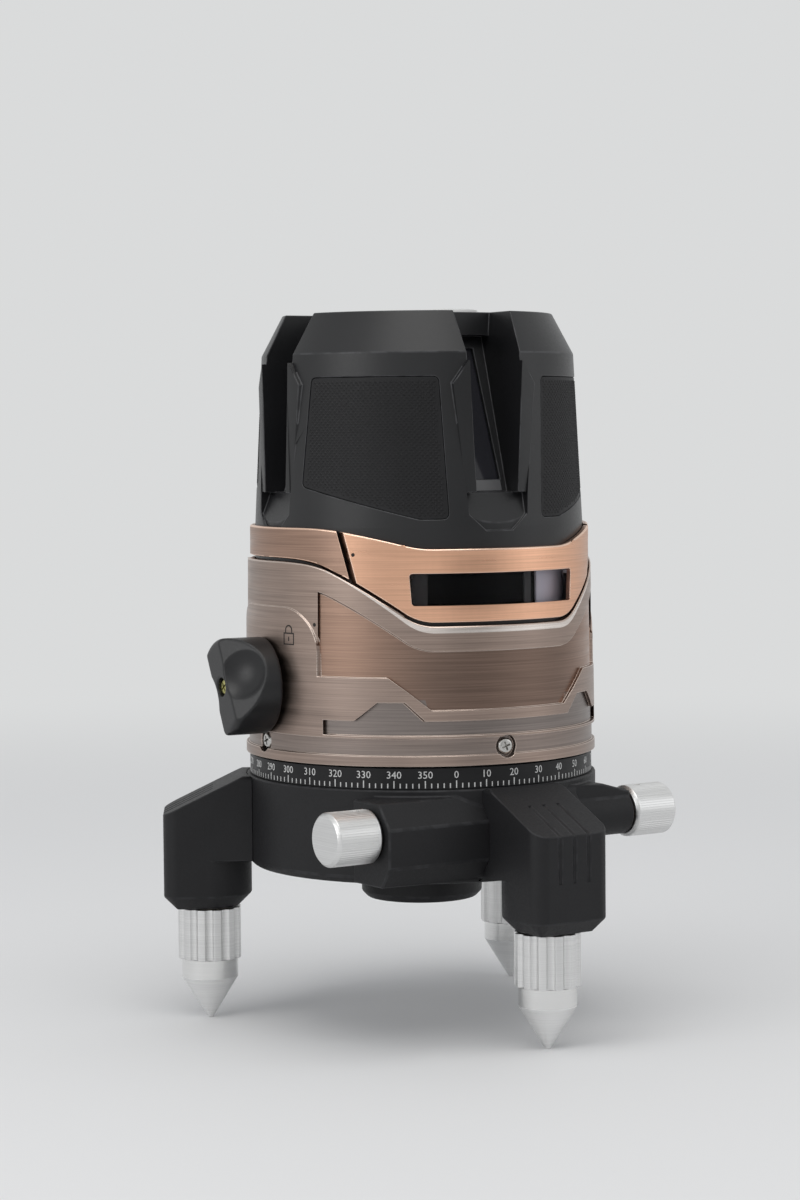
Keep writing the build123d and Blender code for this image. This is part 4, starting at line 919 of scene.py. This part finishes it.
knurlLook = {"count": 66, "radius": 7.66 * mm, "height": 0.10 * mm, "half": 0.24 * mm, "sunk": 0.15 * mm,
             "from": 1.5 * mm, "to": 14.0 * mm}
wormLook = {"at": (-2.5133 * mm, -45.0 * mm, 27.0 * mm), "knobFrom": 45.0 * mm}


def knurlItem():
    half = knurlLook["half"]
    low = -knurlLook["radius"] + knurlLook["sunk"]
    crest = -knurlLook["radius"] - knurlLook["height"]
    ends = (knurlLook["from"], knurlLook["to"])
    rows = [[(-half, low, z), (0, crest, z), (half, low, z)] for z in ends]
    return barPiece("knurlItem", rows, finish["brightAluminium"])


wormPlace = rotated(baseTurn, "Z") @ Matrix.Translation(wormLook["at"])
for side, node in ((1, "fine_knob_right"), (-1, "fine_knob_left")):
    ribs = repeated(camel(node) + "Knurl", knurlItem(), roundSeats(knurlLook["count"]))
    outward = rotated(90.0 * side, "Y") @ Matrix.Translation((0, 0, wormLook["knobFrom"]))
    ribs.data.transform(wormPlace @ outward)
    rides(ribs, "fine_drive")
print("knurls made")


def wrap(verts, radius, angle, low):  # a flat drawing in x and z, laid on the shell's cone
    for vert in verts:
        x, y, z = vert.co
        vert.co = polar(radius - shellSlope * z - y, angle + math.degrees(x / radius), low + z)


def addStrip(bm, start, end, look, steps=8):  # a straight line, in steps that can follow a curved face
    a, b = Vector(start), Vector(end)
    along = (b - a).normalized() * look["line"] / 2
    across = Vector((-along.y, along.x))
    front, back = -look["proud"], look["sunk"]
    rows = []
    for i in range(steps + 1):
        spot = (a - along).lerp(b + along, i / steps)
        left, right = spot + across, spot - across
        corners = ((left, front), (right, front), (right, back), (left, back))
        rows.append([(c.x, y, c.y) for c, y in corners])
    skinned(bm, rows)


def addSpot(bm, look, steps=16):
    turns = [2 * math.pi * i / steps for i in range(steps)]
    circle = [(look["radius"] * math.cos(a), look["radius"] * math.sin(a)) for a in turns]
    return skinned(bm, [[(x, y, z) for x, z in circle] for y in (-look["proud"], look["sunk"])])


lockSign = {"angle": -75.0, "low": 79.6 * mm, "half": 2.1 * mm, "height": 3.2 * mm, "bowR": 1.35 * mm,
            "legs": 0.9 * mm, "keyhole": (1.1 * mm, 2.0 * mm),
            "line": 0.38 * mm, "proud": 0.03 * mm, "sunk": 0.2 * mm}
signBm = bmesh.new()
half, bowFoot, bowR = lockSign["half"], lockSign["height"], lockSign["bowR"]
box = [(-half, 0.0), (half, 0.0), (half, bowFoot), (-half, bowFoot)]
bow = [(bowR, bowFoot)]
for a in (math.radians(degrees) for degrees in range(0, 181, 20)):
    bow.append((bowR * math.cos(a), bowFoot + lockSign["legs"] + bowR * math.sin(a)))
bow.append((-bowR, bowFoot))
keyhole = [(0.0, z) for z in lockSign["keyhole"]]
for path in (box + box[:1], bow, keyhole):
    for start, end in zip(path, path[1:]):
        addStrip(signBm, start, end, lockSign)
signR = (shellFoot + raisedStep["pad"]) * mm - shellSlope * lockSign["low"]
wrap(signBm.verts, signR, lockSign["angle"], lockSign["low"])
spotLook = {"radius": 0.55 * mm, "proud": 0.03 * mm, "sunk": 0.3 * mm}
spotPlaces = [(-64.2, 85.6, "lip"), (-50.0, 106.0, "bezel")]  # angle, height in mm and what it is on
for angle, z, on in spotPlaces:
    wrap(addSpot(signBm, spotLook), (shellFoot + raisedStep[on] - shellSlope * z) * mm, angle, z * mm)
rides(fromBmesh("shellMarks", signBm, finish["engravedDark"]), "head")


# line of the groove round the front, in mm, and the bright strip under it, a painted highlight along the
# lip's top edge
rimLine = {"frontX": 24.9, "sideX": 47.3, "frontZ": 86.0, "sideZ": 104.2, "bend": 12.0}
rimHighlightLook = {"under": 1.03, "tall": 1.5, "thinnest": 0.12, "endX": 44.0, "taper": 19.0,
              "proud": 0.72, "sunk": 0.3, "wide": 60.0, "steps": 80, "radius": 52.0, "smooth": 60}


def rimHeight(x):
    frontX, sideX, frontZ, sideZ, bend = rimLine.values()
    turn = math.atan2(sideZ - frontZ, sideX - frontX)
    tangent = bend * math.tan(turn / 2)
    low, high, reach = frontX - tangent, sideX + tangent, bend * math.sin(turn)
    if x < low:
        return frontZ
    if x < low + reach:
        return frontZ + bend - math.sqrt(bend ** 2 - (x - low) ** 2)
    if x > high:
        return sideZ
    if x > high - reach:
        return sideZ - bend + math.sqrt(bend ** 2 - (high - x) ** 2)
    return frontZ + (x - frontX) * math.tan(turn)


def onShell(out, angle, z):
    return polar((shellFoot + out - shellSlope * z) * mm, angle, z * mm)


# a thin bright strip laid just proud of the lip, a painted highlight
rimHighlightRows = []
for i in range(rimHighlightLook["steps"] + 1):
    angle = rimHighlightLook["wide"] * (2 * i / rimHighlightLook["steps"] - 1)
    x = abs(rimHighlightLook["radius"] * math.sin(math.radians(angle)))
    share = min(1.0, max(rimHighlightLook["thinnest"], (rimHighlightLook["endX"] - x) / rimHighlightLook["taper"]))
    high = rimHeight(x) - rimHighlightLook["under"]
    low = high - rimHighlightLook["tall"] * share
    back, front = rimHighlightLook["sunk"], rimHighlightLook["proud"]
    corners = [(back, low), (front, low), (front, high), (back, high)]
    rimHighlightRows.append([onShell(out, angle, z) for out, z in corners])
lipPolish = barPiece("lipPolish", rimHighlightRows, finish["polishedRim"])
rides(smoothed(lipPolish, rimHighlightLook["smooth"]), "head")


windowLook = {"low": 88.2 * mm, "high": 103.6 * mm, "steps": 24,
              "back": (42.2 * mm, 43.0 * mm), "front": (45.2 * mm, 45.85 * mm),  # inner and outer radius
              "revealLow": (27.38 * mm, -41.4 * mm, 90.8 * mm),
              "revealHigh": (27.48 * mm, -38.75 * mm, 101.0 * mm)}
windowPlates = [("windowLiner", "back", -43.0, 43.0, "linerBlack"),
                ("windowLeftPlate", "front", -43.0, -25.4, "linerGrey"),
                ("windowPost", "front", 13.4, 16.6, "linerGrey"),
                ("windowRightPlate", "front", 19.6, 44.0, "linerPale")]
for name, depth, fromAngle, toAngle, look in windowPlates:
    inner, outer = windowLook[depth]
    low, high = windowLook["low"], windowLook["high"]
    plateRows = []
    for i in range(windowLook["steps"] + 1):
        angle = fromAngle + (toAngle - fromAngle) * i / windowLook["steps"]
        corners = ((inner, low), (outer, low), (outer, high), (inner, high))
        plateRows.append([polar(r, angle, z) for r, z in corners])
    rides(smoothed(barPiece(name, plateRows, finish[look])), "head")
reveal = boxPiece("windowReveal", windowLook["revealLow"], windowLook["revealHigh"], finish["linerPale"])
rides(reveal, "head")
print("window and marks made")


# grey strip at the foot of each slanted pane: a seat for the pane and a painted reflection of the pale floor
# in its glass
seatStripLook = {"foot": (41.8 * mm, 123.5 * mm), "top": (23.2 * mm, 169.3 * mm), "half": 5.1 * mm,
              "thick": 0.08 * mm, "from": 0.4 * mm, "to": 3.7 * mm, "count": 4}
(footR, footZ), (topR, topZ) = seatStripLook["foot"], seatStripLook["top"]
rise = Vector((0, footR - topR, topZ - footZ)).normalized()
paneSlope = Matrix(((1, 0, 0, 0), (0, rise.z, rise.y, -footR), (0, -rise.y, rise.z, footZ), (0, 0, 0, 1)))
gasketItem = boxPiece("gasketItem", (-seatStripLook["half"], -seatStripLook["thick"], seatStripLook["from"]),
                      (seatStripLook["half"], seatStripLook["thick"], seatStripLook["to"]), finish["gasketGrey"])
gasketItem.data.transform(paneSlope)
paneSeats = repeated("paneSeats", gasketItem, roundSeats(seatStripLook["count"]))
rides(paneSeats, "head")

vialLook = {  # profiles of radius and height in mm
    "x": 12.5 * mm, "steps": 64,
    "edge": [(5.9, 174.5), (7.5, 174.5), (7.5, 177.0), (7.2, 177.7), (6.5, 178.0), (5.9, 178.0),
             (5.9, 174.5)],
    "lens": [(0.0, 174.55), (5.88, 174.55), (5.88, 177.8), (0.0, 177.8)],
    "liquid": [(0.0, 174.8), (5.6, 174.8), (5.6, 175.7), (0.0, 175.7)],
    "ring": [(2.3, 175.72), (2.6, 175.72), (2.6, 175.80), (2.3, 175.80), (2.3, 175.72)],
    "smallSteps": 40, "bubbleR": 1.6 * mm, "bubbleFlat": 0.18,
    "bubbleAt": (13.0 * mm, -0.3 * mm, 175.85 * mm),
}


def vialPiece(name, part, steps, material):
    bm = bmesh.new()
    lathe(bm, [(r * mm, z * mm) for r, z in vialLook[part]], steps)
    bmesh.ops.remove_doubles(bm, verts=bm.verts, dist=1e-7)
    bmesh.ops.recalc_face_normals(bm, faces=bm.faces)
    bmesh.ops.translate(bm, verts=bm.verts, vec=(vialLook["x"], 0, 0))
    return fromBmesh(name, bm, finish[material])


vialEdge = vialPiece("bubbleVial", "edge", vialLook["steps"], "vialWhite")
standsFor(smoothed(vialEdge), "bubble_vial")
vialLens = smoothed(vialPiece("vialLens", "lens", vialLook["steps"], "vialAcrylic"))
vialLiquid = smoothed(vialPiece("vialLiquid", "liquid", vialLook["smallSteps"], "vialLiquid"))
vialRing = vialPiece("vialRing", "ring", vialLook["smallSteps"], "panelBlack")
bubbleBm = bmesh.new()
bmesh.ops.create_uvsphere(bubbleBm, u_segments=24, v_segments=12, radius=vialLook["bubbleR"])
bmesh.ops.scale(bubbleBm, verts=bubbleBm.verts, vec=(1.0, 1.0, vialLook["bubbleFlat"]))
bmesh.ops.translate(bubbleBm, verts=bubbleBm.verts, vec=vialLook["bubbleAt"])
vialBubble = smoothed(fromBmesh("vialBubble", bubbleBm, finish["bubbleGloss"]))
for piece in (vialLens, vialLiquid, vialRing, vialBubble):
    rides(piece, "head")


keyLook = {"top": 177.0 * mm, "circle": 14.0 * mm, "reach": 1.7 * mm, "arcR": 1.5 * mm, "arc": (40, 321, 10),
           "stroke": (0.4 * mm, 1.8 * mm), "line": 0.45 * mm, "proud": 0.03 * mm, "sunk": 0.15 * mm}
reach, line = keyLook["reach"], keyLook["line"]
bar = ((-reach, 0.0), (reach, 0.0))
upright = [((0.0, line), (0.0, reach)), ((0.0, -reach), (0.0, -line))]  # two halves beside the bar
stroke = tuple((0.0, z) for z in keyLook["stroke"])
keySigns = {"key_front": (-30.0, [bar]), "key_middle": (-90.0, [bar, *upright]),
            "key_rear": (-150.0, [stroke])}  # place on the circle, and the lines of the sign
near, far = keyLook["arcR"] - line / 2, keyLook["arcR"] + line / 2
front, back = -keyLook["proud"], keyLook["sunk"]
arcCorners = ((near, front), (far, front), (far, back), (near, back))
arcTurns = [math.radians(degrees) for degrees in range(*keyLook["arc"])]
for body, (place, strips) in keySigns.items():
    keyBm = bmesh.new()
    if stroke in strips:  # an open circle round the stroke
        skinned(keyBm, [[(r * math.sin(a), y, r * math.cos(a)) for r, y in arcCorners] for a in arcTurns])
    for start, end in strips:
        addStrip(keyBm, start, end, keyLook)
    for vert in keyBm.verts:
        x, y, z = vert.co
        vert.co = polar(keyLook["circle"], place, keyLook["top"] - y) + Vector((x, z, 0.0))
    bmesh.ops.recalc_face_normals(keyBm, faces=keyBm.faces)
    rides(fromBmesh(camel(body.replace("key", "key_sign")), keyBm, finish["markWhite"]), body)
print("top details made")


coverLook = {"ribs": 6, "pitch": 1.7 * mm, "low": 82.5 * mm, "half": 9.0 * mm, "ribHalf": 0.4 * mm,
             "face": 52.45 * mm, "height": 0.45 * mm, "sunk": 0.3 * mm, "edge": 0.15 * mm}
ribBm = bmesh.new()
addBox(ribBm, (-coverLook["half"], -coverLook["height"], -coverLook["ribHalf"]),
       (coverLook["half"], coverLook["sunk"], coverLook["ribHalf"]))
bmesh.ops.bevel(ribBm, geom=ribBm.edges[:], offset=coverLook["edge"], segments=1, affect="EDGES")
ribItem = fromBmesh("ribItem", ribBm, finishOf("battery_cover"))
ribHeights = [coverLook["low"] + coverLook["pitch"] * i for i in range(coverLook["ribs"])]
coverRibs = repeated("coverRibs", ribItem, [((0, coverLook["face"], z), 180.0) for z in ribHeights])
rides(coverRibs, "hatch")
print("cover ribs made")

print("done")
